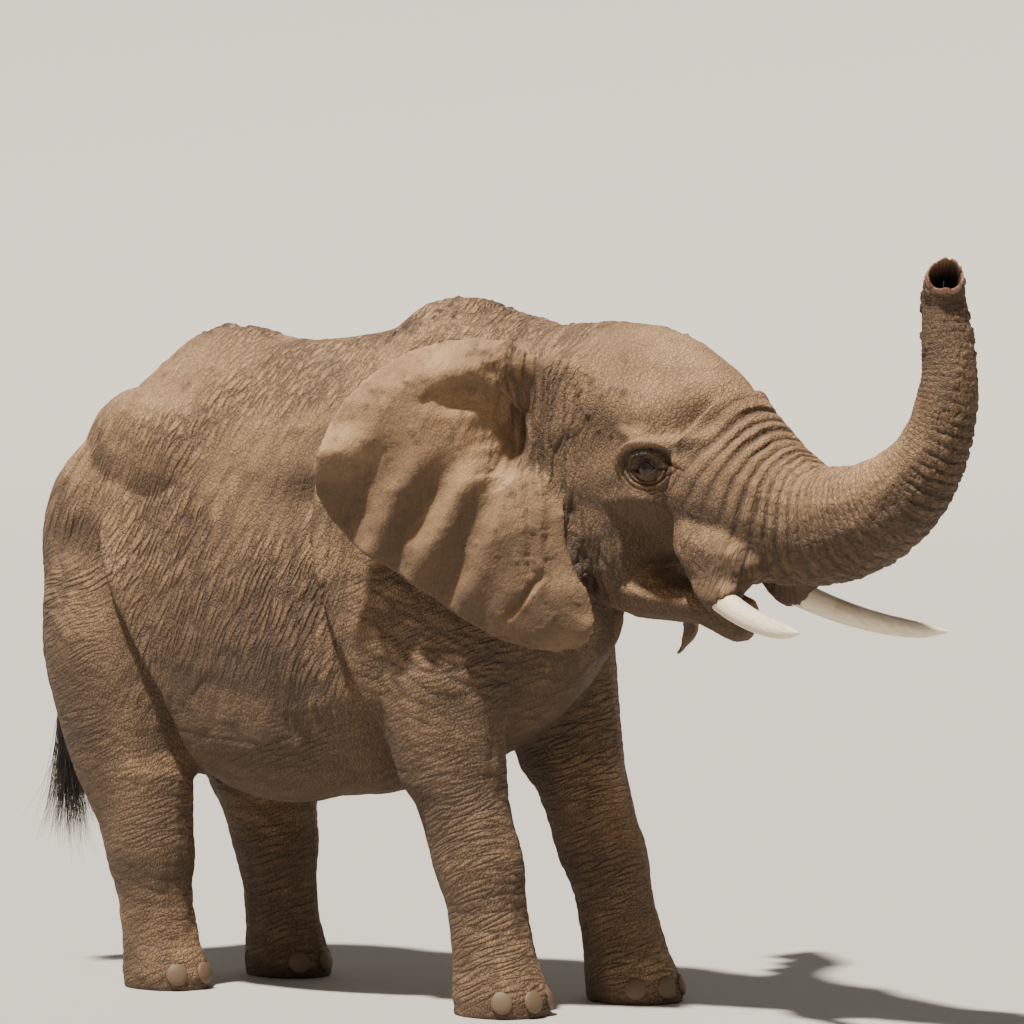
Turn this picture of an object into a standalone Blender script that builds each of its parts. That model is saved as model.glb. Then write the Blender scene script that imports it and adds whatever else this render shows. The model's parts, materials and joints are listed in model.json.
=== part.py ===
"""African savanna elephant, life size: a young adult cow that strides with head raised and trunk lifted.

Axes: +X is where the body faces, +Y its left side, +Z up. The soles stand at Z = 0.
The flesh is lofted from cross-sections, blended into one surface and parted by thin cuts. Eyes,
tusks and nails sit in sockets in it; ears and tail grow from it.
"""

import math

import bmesh
import bpy
import numpy as np
from mathutils import Matrix, Vector
from mathutils.bvhtree import BVHTree

# Driving sizes, in metres and degrees
BLEND_VOXEL = 0.018  # grid on which the lofts are blended
SEAM = 0.0008  # width of the cuts between the parts of the body
CLEARANCE = 0.0006  # gap round a piece that sits in the flesh
FLESH_TRIANGLES = 2900
NECK_PIVOT = Vector((0.716, 0.0, 0.0))  # the head turns about an upright line here
HEAD_TURN = -10.0  # it looks to the elephant's right
SIDES = {"right": -1, "left": 1}

EYE_RADIUS = 0.039
EYE_SUNK = 0.022  # how deep the middle of the eyeball lies under the hide
EYE_PLACE = (0.632, 1.875)  # forward and height on the side of the head
EAR_ROOT = 0.285  # how far forward of the pivot the ears grow
EAR_OUT = {"right": 0.29, "left": 0.35}  # and how far out from the middle of the head
EAR_SPREAD = {"right": 35.0, "left": 54.0}  # angle from the side of the head
EAR_STRETCH = {"right": 1.0, "left": 1.043}  # the left one hangs lower
EAR_THICKNESS = 0.020
EAR_FREE = 0.46  # the part of the root, from the top, that grows from the head
EAR_SUNK = 0.045  # how deep it starts under the hide
EAR_BLEND = 0.22  # and how far out it comes free
EAR_CLEAR = 0.030  # least room between the back of an ear and the body
TUSK_BASE = (0.80, 0.178, 1.495)
TUSK_SPLAY = 19.0
TUSK_LENGTH = {"right": 0.53, "left": 0.64}
TUSK_RADIUS = 0.050
TAIL_TIP_HEIGHT = 0.79
TUFT_LENGTH = 0.27
TUFT_GAP = 0.005

NAIL_HEIGHT = 0.058
NAIL_RADII = (0.014, 0.040, 0.042)
NAIL_SUNK = 0.006
NAIL_LEAN = 14.0

HIDE_COLOUR = (0.27, 0.20, 0.15)
EAR_COLOUR = (0.25, 0.19, 0.145)
IVORY_COLOUR = (0.83, 0.74, 0.60)
NAIL_COLOUR = (0.42, 0.35, 0.28)
EYE_COLOUR = (0.05, 0.03, 0.02)
HAIR_COLOUR = (0.05, 0.04, 0.035)

# Body: x, underside, height of the widest point, back, half width
TORSO = (
    (-1.315, 1.29, 1.43, 1.57, 0.08),
    (-1.255, 1.09, 1.41, 1.765, 0.2),
    (-1.082, 0.91, 1.37, 2.015, 0.326),
    (-0.829, 0.77, 1.32, 2.22, 0.404),
    (-0.564, 0.71, 1.27, 2.315, 0.444),
    (-0.26, 0.68, 1.23, 2.285, 0.479),
    (0.054, 0.7, 1.25, 2.32, 0.488),
    (0.304, 0.76, 1.34, 2.415, 0.461),
    (0.542, 0.87, 1.45, 2.4, 0.404),
    (0.759, 1.03, 1.57, 2.34, 0.326),
    (0.911, 1.21, 1.67, 2.25, 0.238),
)

# Each leg from the top down: height, x, distance from the midline, half length, half width
FORELEG = (
    (1.79, 0.522, 0.241, 0.2, 0.121),
    (1.47, 0.485, 0.276, 0.24, 0.167),
    (1.19, 0.457, 0.298, 0.235, 0.172),
    (0.97, 0.473, 0.298, 0.205, 0.163),
    (0.756, 0.51, 0.289, 0.175, 0.147),
    (0.561, 0.568, 0.28, 0.16, 0.138),
    (0.367, 0.61, 0.276, 0.143, 0.126),
    (0.18, 0.642, 0.271, 0.152, 0.138),
    (0.06, 0.664, 0.271, 0.176, 0.154),
    (-0.06, 0.669, 0.271, 0.168, 0.147),
)
FORELEG_REACH = ((1.70, 0.0), (1.24, 0.084), (0.79, 0.142), (0.38, 0.185), (0.0, 0.224))
HIND_LEG = (
    (1.77, -0.783, 0.224, 0.27, 0.149),
    (1.47, -0.851, 0.259, 0.331, 0.195),
    (1.19, -0.868, 0.28, 0.322, 0.195),
    (0.95, -0.852, 0.28, 0.277, 0.181),
    (0.734, -0.827, 0.271, 0.227, 0.158),
    (0.54, -0.781, 0.263, 0.172, 0.138),
    (0.345, -0.761, 0.255, 0.14, 0.121),
    (0.17, -0.735, 0.25, 0.145, 0.123),
    (0.05, -0.714, 0.246, 0.166, 0.136),
    (-0.06, -0.708, 0.246, 0.158, 0.128),
)
HIND_LEG_REACH = ((1.70, 0.0), (1.24, 0.08), (0.79, 0.17), (0.36, 0.198), (0.0, 0.196))

# Neck: x, y, height, half depth
NECK = (
    (0.39, 0.0, 1.81, 0.45),
    (0.60, 0.0, 1.84, 0.425),
    (0.77, -0.005, 1.86, 0.385),
    (0.92, -0.025, 1.87, 0.345),
)
NECK_FLATNESS = 0.82  # width over depth

# Head from behind the ears to the trunk: x from the pivot, underside, widest, top, half width
HEAD = (
    (-0.14, 1.37, 1.79, 2.32, 0.336),
    (0.04, 1.41, 1.83, 2.345, 0.331),
    (0.22, 1.47, 1.87, 2.36, 0.322),
    (0.4, 1.52, 1.89, 2.355, 0.312),
    (0.56, 1.57, 1.89, 2.315, 0.298),
    (0.72, 1.58, 1.83, 2.225, 0.269),
    (0.86, 1.57, 1.77, 2.115, 0.245),
    (1.0, 1.53, 1.72, 1.98, 0.223),
    (1.12, 1.51, 1.69, 1.9, 0.202),
)

LOWER_JAW = (
    (0.1, 1.50, 1.62, 1.78, 0.22),
    (0.2, 1.45, 1.59, 1.73, 0.245),
    (0.38, 1.365, 1.50, 1.63, 0.235),
    (0.55, 1.35, 1.44, 1.515, 0.185),
    (0.67, 1.345, 1.42, 1.48, 0.135),
    (0.75, 1.308, 1.39, 1.463, 0.108),
    (0.81, 1.284, 1.37, 1.46, 0.09),
    (0.85, 1.305, 1.37, 1.445, 0.062),
    (0.87, 1.345, 1.38, 1.42, 0.03),
)

# Trunk in the head's frame: forward, sideways, height, radius
TRUNK = (
    (0.86, 0.0, 1.72, 0.215),
    (1.01, 0.0, 1.695, 0.208),
    (1.175, 0.0, 1.692, 0.198),
    (1.325, 0.0, 1.725, 0.182),
    (1.452, 0.0, 1.792, 0.16),
    (1.555, 0.0, 1.885, 0.136),
    (1.621, 0.0, 1.995, 0.116),
    (1.656, 0.0, 2.11, 0.103),
    (1.662, 0.0, 2.228, 0.093),
    (1.652, 0.0, 2.34, 0.084),
    (1.646, -0.008, 2.43, 0.076),
    (1.66, -0.03, 2.494, 0.07),
    (1.686, -0.06, 2.526, 0.067),
)
TRUNK_CUTS = (2, 5, 8)  # rows of the trunk where its lengths meet

# Ear, from the top round to the lobe: root (back, height), edge (back, height)
EAR = (
    (0.02, 2.215, 0.07, 2.262),
    (0.02, 2.165, 0.22, 2.302),
    (0.02, 2.115, 0.42, 2.292),
    (0.02, 2.06, 0.60, 2.218),
    (0.02, 2.00, 0.745, 2.090),
    (0.015, 1.93, 0.825, 1.935),
    (0.01, 1.86, 0.835, 1.775),
    (0.0, 1.79, 0.730, 1.615),
    (-0.01, 1.72, 0.555, 1.505),
    (-0.03, 1.64, 0.405, 1.400),
    (-0.05, 1.56, 0.255, 1.310),
    (-0.075, 1.48, 0.100, 1.255),
    (-0.095, 1.41, -0.045, 1.260),
    (-0.105, 1.36, -0.100, 1.315),
)
EAR_TOP = 2.30
EAR_STEPS = 5  # faces from the root to the edge


def clear_scene():
    for obj in list(bpy.data.objects):
        bpy.data.objects.remove(obj)


def finish(name, colour, roughness):
    material = bpy.data.materials.new(name)
    material.use_nodes = True
    shader = material.node_tree.nodes["Principled BSDF"]
    shader.inputs["Base Color"].default_value = (*colour, 1.0)
    shader.inputs["Roughness"].default_value = roughness
    shader.inputs["Metallic"].default_value = 0.0
    return material


def smooth_rows(rows, steps):
    """The rows with others between them, on a Catmull-Rom curve."""
    rows = [np.array(row, float) for row in rows]
    out = []
    for i, (a, b) in enumerate(zip(rows, rows[1:])):
        before = rows[max(i - 1, 0)]
        after = rows[min(i + 2, len(rows) - 1)]
        for k in range(steps):
            t = k / steps
            linear = (b - before) * t
            square = (2 * before - 5 * a + 4 * b - after) * t**2
            cube = (3 * a - before - 3 * b + after) * t**3
            out.append(a + (linear + square + cube) / 2)
    out.append(rows[-1])
    return out


def link_mesh(name, bm):
    mesh = bpy.data.meshes.new(name)
    bmesh.ops.recalc_face_normals(bm, faces=bm.faces)
    bm.to_mesh(mesh)
    bm.free()
    obj = bpy.data.objects.new(name, mesh)
    bpy.context.scene.collection.objects.link(obj)
    return obj


def loft(name, rings):
    """A closed skin over rings of points, each ring with the same count."""
    bm = bmesh.new()
    loops = [[bm.verts.new(point) for point in ring] for ring in rings]
    count = len(loops[0])
    for lower, upper in zip(loops, loops[1:]):
        for i in range(count):
            j = (i + 1) % count
            bm.faces.new((lower[i], lower[j], upper[j], upper[i]))
    bm.faces.new(loops[0][::-1])
    bm.faces.new(loops[-1])
    return link_mesh(name, bm)


def ring_angles(count):
    return [math.tau * i / count for i in range(count)]


def upright_ring(x, low, wide, high, half_width, belly, back, count=32):
    """A cross-section across the X axis; belly under 1 fills its corners, back over 1 pinches the spine."""
    ring = []
    for angle in ring_angles(count):
        side, rise = math.cos(angle), math.sin(angle)
        reach = high - wide if rise > 0 else wide - low
        power = back if rise > 0 else belly
        y = half_width * math.copysign(abs(side) ** power, side)
        ring.append(Vector((x, y, wide + reach * rise)))
    return ring


def level_ring(z, x, y, half_length, half_width, count=24):
    return [
        Vector((x + half_length * math.cos(angle), y + half_width * math.sin(angle), z))
        for angle in ring_angles(count)
    ]


def tube_rings(rows, flatness=1.0, count=24):
    """Round cross-sections square to a path of rows (x, y, z, radius)."""
    rings = []
    for i, row in enumerate(rows):
        ahead = Vector(rows[min(i + 1, len(rows) - 1)][:3])
        behind = Vector(rows[max(i - 1, 0)][:3])
        along = (ahead - behind).normalized()
        up = along.cross(Vector((0, 1, 0))).normalized()
        side = along.cross(up)
        rings.append(
            [
                Vector(row[:3])
                + up * (row[3] * math.cos(angle))
                + side * (row[3] * flatness * math.sin(angle))
                for angle in ring_angles(count)
            ]
        )
    return rings


def lump(name, centre, radii, turn=(0, 0, 0), subdivisions=3):
    """An ellipsoid of muscle or bone under the hide; turn is in degrees."""
    bm = bmesh.new()
    bmesh.ops.create_icosphere(bm, subdivisions=subdivisions, radius=1.0)
    turned = Matrix.Identity(4)
    for angle, axis in zip(turn, "XYZ"):
        turned = Matrix.Rotation(math.radians(angle), 4, axis) @ turned
    place = Matrix.Translation(Vector(centre)) @ turned @ Matrix.Diagonal((*radii, 1.0))
    bmesh.ops.transform(bm, matrix=place, verts=bm.verts)
    return link_mesh(name, bm)


def block(name, place):
    """A unit cube put in place."""
    bm = bmesh.new()
    bmesh.ops.create_cube(bm, size=1.0)
    bmesh.ops.transform(bm, matrix=place, verts=bm.verts)
    return link_mesh(name, bm)


def head_place():
    """Turns what is modelled in the head's frame to where the neck holds it."""
    return Matrix.Translation(NECK_PIVOT) @ Matrix.Rotation(math.radians(HEAD_TURN), 4, "Z")


def join(objects, name):
    bm = bmesh.new()
    for obj in objects:
        bm.from_mesh(obj.data)
        bpy.data.objects.remove(obj)
    return link_mesh(name, bm)


def apply_modifiers(obj):
    graph = bpy.context.evaluated_depsgraph_get()
    mesh = bpy.data.meshes.new_from_object(obj.evaluated_get(graph))
    obj.modifiers.clear()
    obj.data = mesh


def subtract(obj, cutter):
    cut = obj.modifiers.new("Cut", "BOOLEAN")
    cut.operation = "DIFFERENCE"
    cut.solver = "EXACT"
    cut.use_self = True
    cut.object = cutter
    apply_modifiers(obj)
    bpy.data.objects.remove(cutter)


def inflated(obj, by):
    """A copy whose skin stands off by the clearance, to cut a socket."""
    bm = bmesh.new()
    bm.from_mesh(obj.data)
    bm.normal_update()
    for vert in bm.verts:
        vert.co += vert.normal * by
    return link_mesh("socket", bm)


def model_torso():
    rows = smooth_rows(TORSO, 4)
    pieces = [loft("torso", [upright_ring(*row, belly=0.97, back=1.18) for row in rows])]
    pieces.append(lump("withers", (0.36, 0, 2.175), (0.32, 0.14, 0.268)))
    pieces.append(lump("croup", (-0.565, 0, 2.08), (0.32, 0.16, 0.255)))
    for side in SIDES.values():
        pieces.append(lump("blade", (0.47, 0.25 * side, 1.685), (0.28, 0.17, 0.50), (0, 12, 0)))
        pieces.append(lump("hip", (-0.70, 0.18 * side, 1.84), (0.38, 0.21, 0.27), (0, 20, 0)))
        pieces.append(lump("haunch", (-0.93, 0.22 * side, 1.46), (0.30, 0.18, 0.48), (0, -10, 0)))
        pieces.append(lump("flank", (-0.24, 0.16 * side, 1.085), (0.54, 0.30, 0.42)))
    return pieces


def leg_rows(rows, side, reach=()):
    """The leg's sections on one side; the left legs reach forward in the stride."""
    out = []
    for z, x, y, half_length, half_width in rows:
        if reach:
            heights, steps = zip(*reversed(reach))
            x += float(np.interp(z, heights, steps))
        out.append((z, x, y * side, half_length, half_width))
    return out


def legs():
    """Each leg's rows by name."""
    return {
        "foreleg_right": leg_rows(FORELEG, -1),
        "foreleg_left": leg_rows(FORELEG, 1, FORELEG_REACH),
        "hind_leg_right": leg_rows(HIND_LEG, -1),
        "hind_leg_left": leg_rows(HIND_LEG, 1, HIND_LEG_REACH),
    }


def model_legs():
    return [
        loft(name, [level_ring(*row) for row in smooth_rows(rows, 4)])
        for name, rows in legs().items()
    ]


def model_neck():
    return [loft("neck", tube_rings(smooth_rows(NECK, 4), NECK_FLATNESS))]


def model_head():
    skull = [upright_ring(*row, belly=0.95, back=1.0) for row in smooth_rows(HEAD, 4)]
    jaw = [upright_ring(*row, belly=0.9, back=0.9) for row in smooth_rows(LOWER_JAW, 4)]
    trunk = tube_rings(smooth_rows(TRUNK, 4))
    pieces = [loft("skull", skull), loft("jaw", jaw), loft("trunk", trunk)]
    for side in SIDES.values():
        pieces.append(lump("temple", (0.38, 0.18 * side, 2.02), (0.22, 0.145, 0.22)))
        pieces.append(lump("brow", (0.60, 0.238 * side, 1.955), (0.13, 0.07, 0.06), (0, 22, -14 * side)))
        cheek = (0.60, 0.228 * side, 1.785)
        pieces.append(lump("cheekbone", cheek, (0.14, 0.07, 0.055), (0, 12, -10 * side)))
        pieces.append(lump("jaw_angle", (0.36, 0.175 * side, 1.67), (0.19, 0.125, 0.24)))
        sheath = (0.84, 0.172 * side, 1.595)
        pieces.append(lump("sheath", sheath, (0.20, 0.10, 0.115), (0, 20, -6 * side)))
        lip = (0.86, 0.194 * side, 1.484)
        pieces.append(lump("tusk_lip", lip, (0.128, 0.072, 0.082), (0, 26, 17 * side)))
    for piece in pieces:
        piece.data.transform(head_place())
    return pieces


def simplify(obj):
    """Fewer triangles where the hide is nearly flat."""
    thin = obj.modifiers.new("Simplify", "DECIMATE")
    thin.use_collapse_triangulate = True
    thin.ratio = FLESH_TRIANGLES / sum(len(face.vertices) - 2 for face in obj.data.polygons)
    apply_modifiers(obj)


def model_flesh():
    flesh = join(model_torso() + model_legs() + model_neck() + model_head(), "flesh")
    blend = flesh.modifiers.new("Blend", "REMESH")
    blend.mode = "VOXEL"
    blend.voxel_size = BLEND_VOXEL
    ease = flesh.modifiers.new("Ease", "SMOOTH")
    ease.factor = 0.5
    ease.iterations = 10
    apply_modifiers(flesh)
    simplify(flesh)
    ground = Matrix.Translation((0, 0, -0.5)) @ Matrix.Diagonal((6, 4, 1, 1))
    subtract(flesh, block("ground", ground))  # the soles are flat
    return flesh


def tree_of(obj):
    bm = bmesh.new()
    bm.from_mesh(obj.data)
    tree = BVHTree.FromBMesh(bm)
    bm.free()
    return tree


def is_inside(tree, point):
    """Whether a line from the point leaves the surface once more than it enters."""
    along = Vector((0.13, 0.21, 0.97)).normalized()
    crossings = 0
    start = point
    while True:
        hit, _, _, _ = tree.ray_cast(start, along)
        if hit is None:
            return crossings % 2 == 1
        crossings += 1
        start = hit + along * 1e-5


def model_eye(side, tree):
    """A ball whose middle lies a little under the hide."""
    forward, height = EYE_PLACE
    outside = head_place() @ Vector((forward, side, height))
    inwards = (head_place().to_3x3() @ Vector((0, -side, 0))).normalized()
    hide, normal, _, _ = tree.ray_cast(outside, inwards)
    return lump("eye", hide - normal * EYE_SUNK, (EYE_RADIUS,) * 3, subdivisions=2)


def model_tusk(side, length):
    """A horn that leaves the sheath forwards and down, splays and curves up to a blunt tip."""
    rows = []
    steps = 9
    for i in range(steps + 1):
        t = i / steps
        run = length * t
        out = math.radians(TUSK_SPLAY)
        drop = -0.52 * run + 0.27 * run**2 / length
        radius = TUSK_RADIUS * (1 - 0.42 * t) * math.sqrt(max(1 - t**9, 0.02))
        x = TUSK_BASE[0] + run * math.cos(out)
        y = side * (TUSK_BASE[1] + run * math.sin(out) * (1 - 0.15 * t))
        rows.append((x, y, TUSK_BASE[2] + drop, radius))
    tusk = loft("tusk", tube_rings(rows, count=10))
    tusk.data.transform(head_place())
    return tusk


def model_nails(rows, angles):
    """Nails round the front of a foot, at angles from straight ahead."""
    _, x, y, half_length, half_width = rows[-2]
    nails = []
    for angle in angles:
        turn = math.radians(angle)
        ahead = (half_length - NAIL_SUNK) * math.cos(turn)
        aside = (half_width - NAIL_SUNK) * math.sin(turn)
        place = (x + ahead, y + aside, NAIL_HEIGHT)
        nails.append(lump("nail", place, NAIL_RADII, (0, -NAIL_LEAN, angle), subdivisions=2))
    return nails


def ear_offset(s, t):
    """How far the flap stands out from its plane; s runs root to edge, t top to lobe."""
    bump = lambda at, width, value: math.exp(-(((value - at) / width) ** 2))
    hollow = -0.055 * bump(0.17, 0.10, s) * bump(0.27, 0.17, t)
    shoulder = 0.045 * bump(0.72, 0.24, s) * bump(0.26, 0.15, t)
    curl = -0.045 * bump(1.02, 0.16, s) * bump(0.46, 0.12, t)
    pleats = 0.016 * s**1.5 * math.sin(math.tau * 6.0 * (t - 0.05)) * bump(0.60, 0.17, t)
    return hollow + shoulder + curl + pleats + 0.03 * math.sin(math.pi * s)


def model_ear(side, spread, out_from_middle, stretch, tree):
    """A curved flap of even thickness that thins to its edge and clears the body behind it."""
    spread = math.radians(spread)
    back = Vector((-math.cos(spread), side * math.sin(spread), 0))
    out = Vector((math.sin(spread), side * math.cos(spread), 0))
    origin = Vector((EAR_ROOT, side * out_from_middle, 0))
    inwards = head_place().to_3x3() @ Vector((0, -side, 0))
    rows = smooth_rows(EAR, 2)
    turned = head_place().to_3x3()
    front = []
    for j, (root_back, root_z, edge_back, edge_z) in enumerate(rows):
        t = j / (len(rows) - 1)
        line = []
        for i in range(EAR_STEPS + 1):
            s = i / EAR_STEPS
            away = root_back + (edge_back - root_back) * s
            height = EAR_TOP - (EAR_TOP - root_z - (edge_z - root_z) * s) * stretch
            free = 0.045 * min(max((t - 0.42) / 0.2, 0), 1) * (1 - s)
            point = origin + back * away + out * (ear_offset(s, t) + free)
            point.z = height
            point = head_place() @ point
            if i == 0 and t < EAR_FREE:
                hide, _, _, _ = tree.ray_cast(point - inwards, inwards)
                sunk = hide + inwards * EAR_SUNK - point if hide else Vector()
            if i == 0:
                root = point.copy()
            if t < EAR_FREE:
                point += sunk * max(1 - ((point - root).length / EAR_BLEND) ** 2, 0)
            hide, _, _, gap = tree.find_nearest(point)
            room = EAR_CLEAR + EAR_THICKNESS
            inside = (point - hide).dot(turned @ out) < 0
            if s > 0.2 and (gap < room or inside):
                lack = room + gap if inside else room - gap
                point += (turned @ out) * (lack * min((s - 0.2) / 0.2, 1))
            line.append(point)
        front.append(line)
    normal = turned @ out
    bm = bmesh.new()
    layers = []
    for depth in (0, 1):
        layer = []
        for j, line in enumerate(front):
            t = j / (len(front) - 1)
            rim = min(math.sin(math.pi * min(max(t, 0.02), 0.98)) * 4, 1)
            verts = []
            for i, point in enumerate(line):
                thick = EAR_THICKNESS * (1 - 0.45 * i / EAR_STEPS) * (0.6 + 0.4 * rim)
                verts.append(bm.verts.new(point - normal * (thick * depth)))
            layer.append(verts)
        layers.append(layer)
    outer, inner = layers
    rows_count, columns = len(front), EAR_STEPS + 1
    for j in range(rows_count - 1):
        for i in range(columns - 1):
            bm.faces.new((outer[j][i], outer[j][i + 1], outer[j + 1][i + 1], outer[j + 1][i]))
            bm.faces.new((inner[j][i], inner[j + 1][i], inner[j + 1][i + 1], inner[j][i + 1]))
    border = [(0, i) for i in range(columns)]
    border += [(j, columns - 1) for j in range(1, rows_count)]
    border += [(rows_count - 1, i) for i in range(columns - 2, -1, -1)]
    border += [(j, 0) for j in range(rows_count - 2, 0, -1)]
    for (j, i), (k, m) in zip(border, border[1:] + border[:1]):
        bm.faces.new((outer[j][i], inner[j][i], inner[k][m], outer[k][m]))
    return link_mesh("ear", bm)


def model_tail():
    """Hangs close behind the rump and sways to the left; the tuft of long hair is a solid of its own."""
    path = (
        (-1.10, 0.0, 1.86, 0.060),
        (-1.21, 0.0, 1.775, 0.058),
        (-1.315, 0.01, 1.62, 0.049),
        (-1.375, 0.03, 1.43, 0.040),
        (-1.39, 0.05, 1.235, 0.033),
        (-1.37, 0.07, 1.00, 0.027),
        (-1.345, 0.09, TAIL_TIP_HEIGHT, 0.022),
    )
    tail = loft("tail", tube_rings(smooth_rows(path, 2), count=10))
    x, y, z, radius = path[-1]
    start = z - TUFT_GAP
    tuft_rows = [
        (start - TUFT_LENGTH * t, x + 0.05 * t, y + 0.02 * t, radius + spread, radius + 0.4 * spread)
        for t, spread in ((0, 0.0), (0.25, 0.018), (0.55, 0.026), (0.85, 0.016), (1.0, -0.012))
    ]
    tuft = loft("tail_tuft", [level_ring(*row, count=12) for row in tuft_rows])
    return tail, tuft


def slab(centre, normal, half_length, half_width):
    """A thin plate square to the normal; its length lies as near to the X axis as it can."""
    normal = Vector(normal).normalized()
    length = (Vector((1, 0, 0)) - normal * normal.x).normalized()
    if abs(normal.x) > 0.9:
        length = (Vector((0, 0, 1)) - normal * normal.z).normalized()
    width = normal.cross(length)
    frame = Matrix((length * half_length * 2, width * half_width * 2, normal * SEAM)).transposed()
    return block("slab", Matrix.Translation(Vector(centre)) @ frame.to_4x4())


def row_at(rows, height):
    return min(rows, key=lambda row: abs(row[0] - height))


def model_cuts():
    """The plates that part the flesh: at the neck, jaw, trunk lengths, leg tops and ankles."""
    cuts = [slab((0.65, 0, 1.795), (1, 0, 0.20), 0.78, 0.60)]
    in_head = [slab((0.12, 0, 1.87), (1, 0, 0.16), 0.62, 0.52)]
    in_head.append(slab((0.487, 0, 1.48), (0.75, 0, -0.66), 0.245, 0.30))
    for i in TRUNK_CUTS:
        x, y, z, radius = TRUNK[i]
        along = Vector(TRUNK[i + 1][:3]) - Vector(TRUNK[i - 1][:3])
        in_head.append(slab((x, y, z), along, radius + 0.06, radius + 0.06))
    for plate in in_head:
        plate.data.transform(head_place())
    cuts += in_head
    for name, rows in legs().items():
        side = math.copysign(1, rows[0][2])
        rise, lean, height = (0.62, 0.42, 0.95) if "fore" in name else (-0.50, 0.66, 0.84)
        _, x, y, _, _ = row_at(rows, height)
        cuts.append(slab((x, y, height), (-rise, -lean * side, 1), 0.56, 0.40))
        z, x, y, half_length, half_width = row_at(rows, 0.18)
        cuts.append(slab((x, y, z + 0.06), (0, 0, 1), half_length + 0.05, half_width + 0.05))
    return cuts


def places():
    """A point inside each part of the parted flesh, by its name."""
    head = head_place()
    inside = {
        "torso": Vector((-0.2, 0, 1.5)),
        "neck": NECK_PIVOT + Vector((0.05, 0, 1.87)),
        "head": head @ Vector((0.5, 0, 1.97)),
        "lower_jaw": head @ Vector((0.68, 0, 1.42)),
    }
    ends = (0,) + TRUNK_CUTS + (len(TRUNK) - 1,)
    for name, start, end in zip(("trunk_bend", "trunk_rise", "trunk_tip"), ends[1:], ends[2:]):
        middle = TRUNK[(start + end) // 2 + (start + end) % 2]
        inside[name] = head @ Vector(middle[:3])
    for name, rows in legs().items():
        for part, height in ((name, 0.5), (name.replace("leg", "foot"), 0.08)):
            _, x, y, _, _ = row_at(rows, height)
            inside[part] = Vector((x, y, height))
    return inside


def separate(flesh, material):
    """Loose pieces of the flesh, each named by the place that it holds."""
    before = set(bpy.data.objects)
    with bpy.context.temp_override(active_object=flesh, selected_editable_objects=[flesh]):
        bpy.ops.mesh.separate(type="LOOSE")
    named = places()
    for piece in [flesh, *(set(bpy.data.objects) - before)]:
        tree = tree_of(piece)
        held = [name for name, point in named.items() if is_inside(tree, point)]
        give(piece, held[0] if held else "spare", material)


def give(obj, name, material):
    obj.name = name
    obj.data.materials.clear()
    obj.data.materials.append(material)
    obj.data.shade_smooth()


def stand_on_origin():
    """Moves everything so that the middle of its plan lies over the origin."""
    corners = np.array([vert.co for obj in bpy.data.objects for vert in obj.data.vertices])
    middle = (corners.min(axis=0) + corners.max(axis=0)) / 2
    for obj in bpy.data.objects:
        obj.data.transform(Matrix.Translation((-middle[0], -middle[1], 0)))


def build():
    clear_scene()
    hide = finish("hide", HIDE_COLOUR, 0.9)
    ear_hide = finish("ear_hide", EAR_COLOUR, 0.85)
    ivory = finish("ivory", IVORY_COLOUR, 0.35)
    horn = finish("nail_horn", NAIL_COLOUR, 0.6)
    eye_gloss = finish("eye", EYE_COLOUR, 0.08)
    hair = finish("hair", HAIR_COLOUR, 0.7)

    flesh = model_flesh()
    tree = tree_of(flesh)
    set_in, grown = [], []
    for name, side in SIDES.items():
        eye = model_eye(side, tree)
        give(eye, f"eye_{name}", eye_gloss)
        tusk = model_tusk(side, TUSK_LENGTH[name])
        give(tusk, f"tusk_{name}", ivory)
        set_in += [eye, tusk]
    for leg, rows in legs().items():
        angles = (-62, -21, 21, 62) if "fore" in leg else (-48, 0, 48)
        for number, nail in enumerate(model_nails(rows, angles), 1):
            grown.append((nail, f"nail_{leg.replace('_leg', '').replace('leg', '')}_{number}", horn))
    for name, side in SIDES.items():
        ear = model_ear(side, EAR_SPREAD[name], EAR_OUT[name], EAR_STRETCH[name], tree)
        grown.append((ear, f"ear_{name}", ear_hide))
    tail, tuft = model_tail()
    grown.append((tail, "tail", hide))
    give(tuft, "tail_tuft", hair)
    for obj, name, material in grown:
        subtract(obj, inflated(flesh, CLEARANCE))
        give(obj, name, material)
    subtract(flesh, join([inflated(obj, CLEARANCE) for obj in set_in], "sockets"))
    for plate in model_cuts():
        subtract(flesh, plate)
    separate(flesh, hide)
    stand_on_origin()


build()
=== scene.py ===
import itertools
import json
import math

import bpy
import numpy as np
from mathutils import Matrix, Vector
from mathutils.bvhtree import BVHTree

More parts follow.
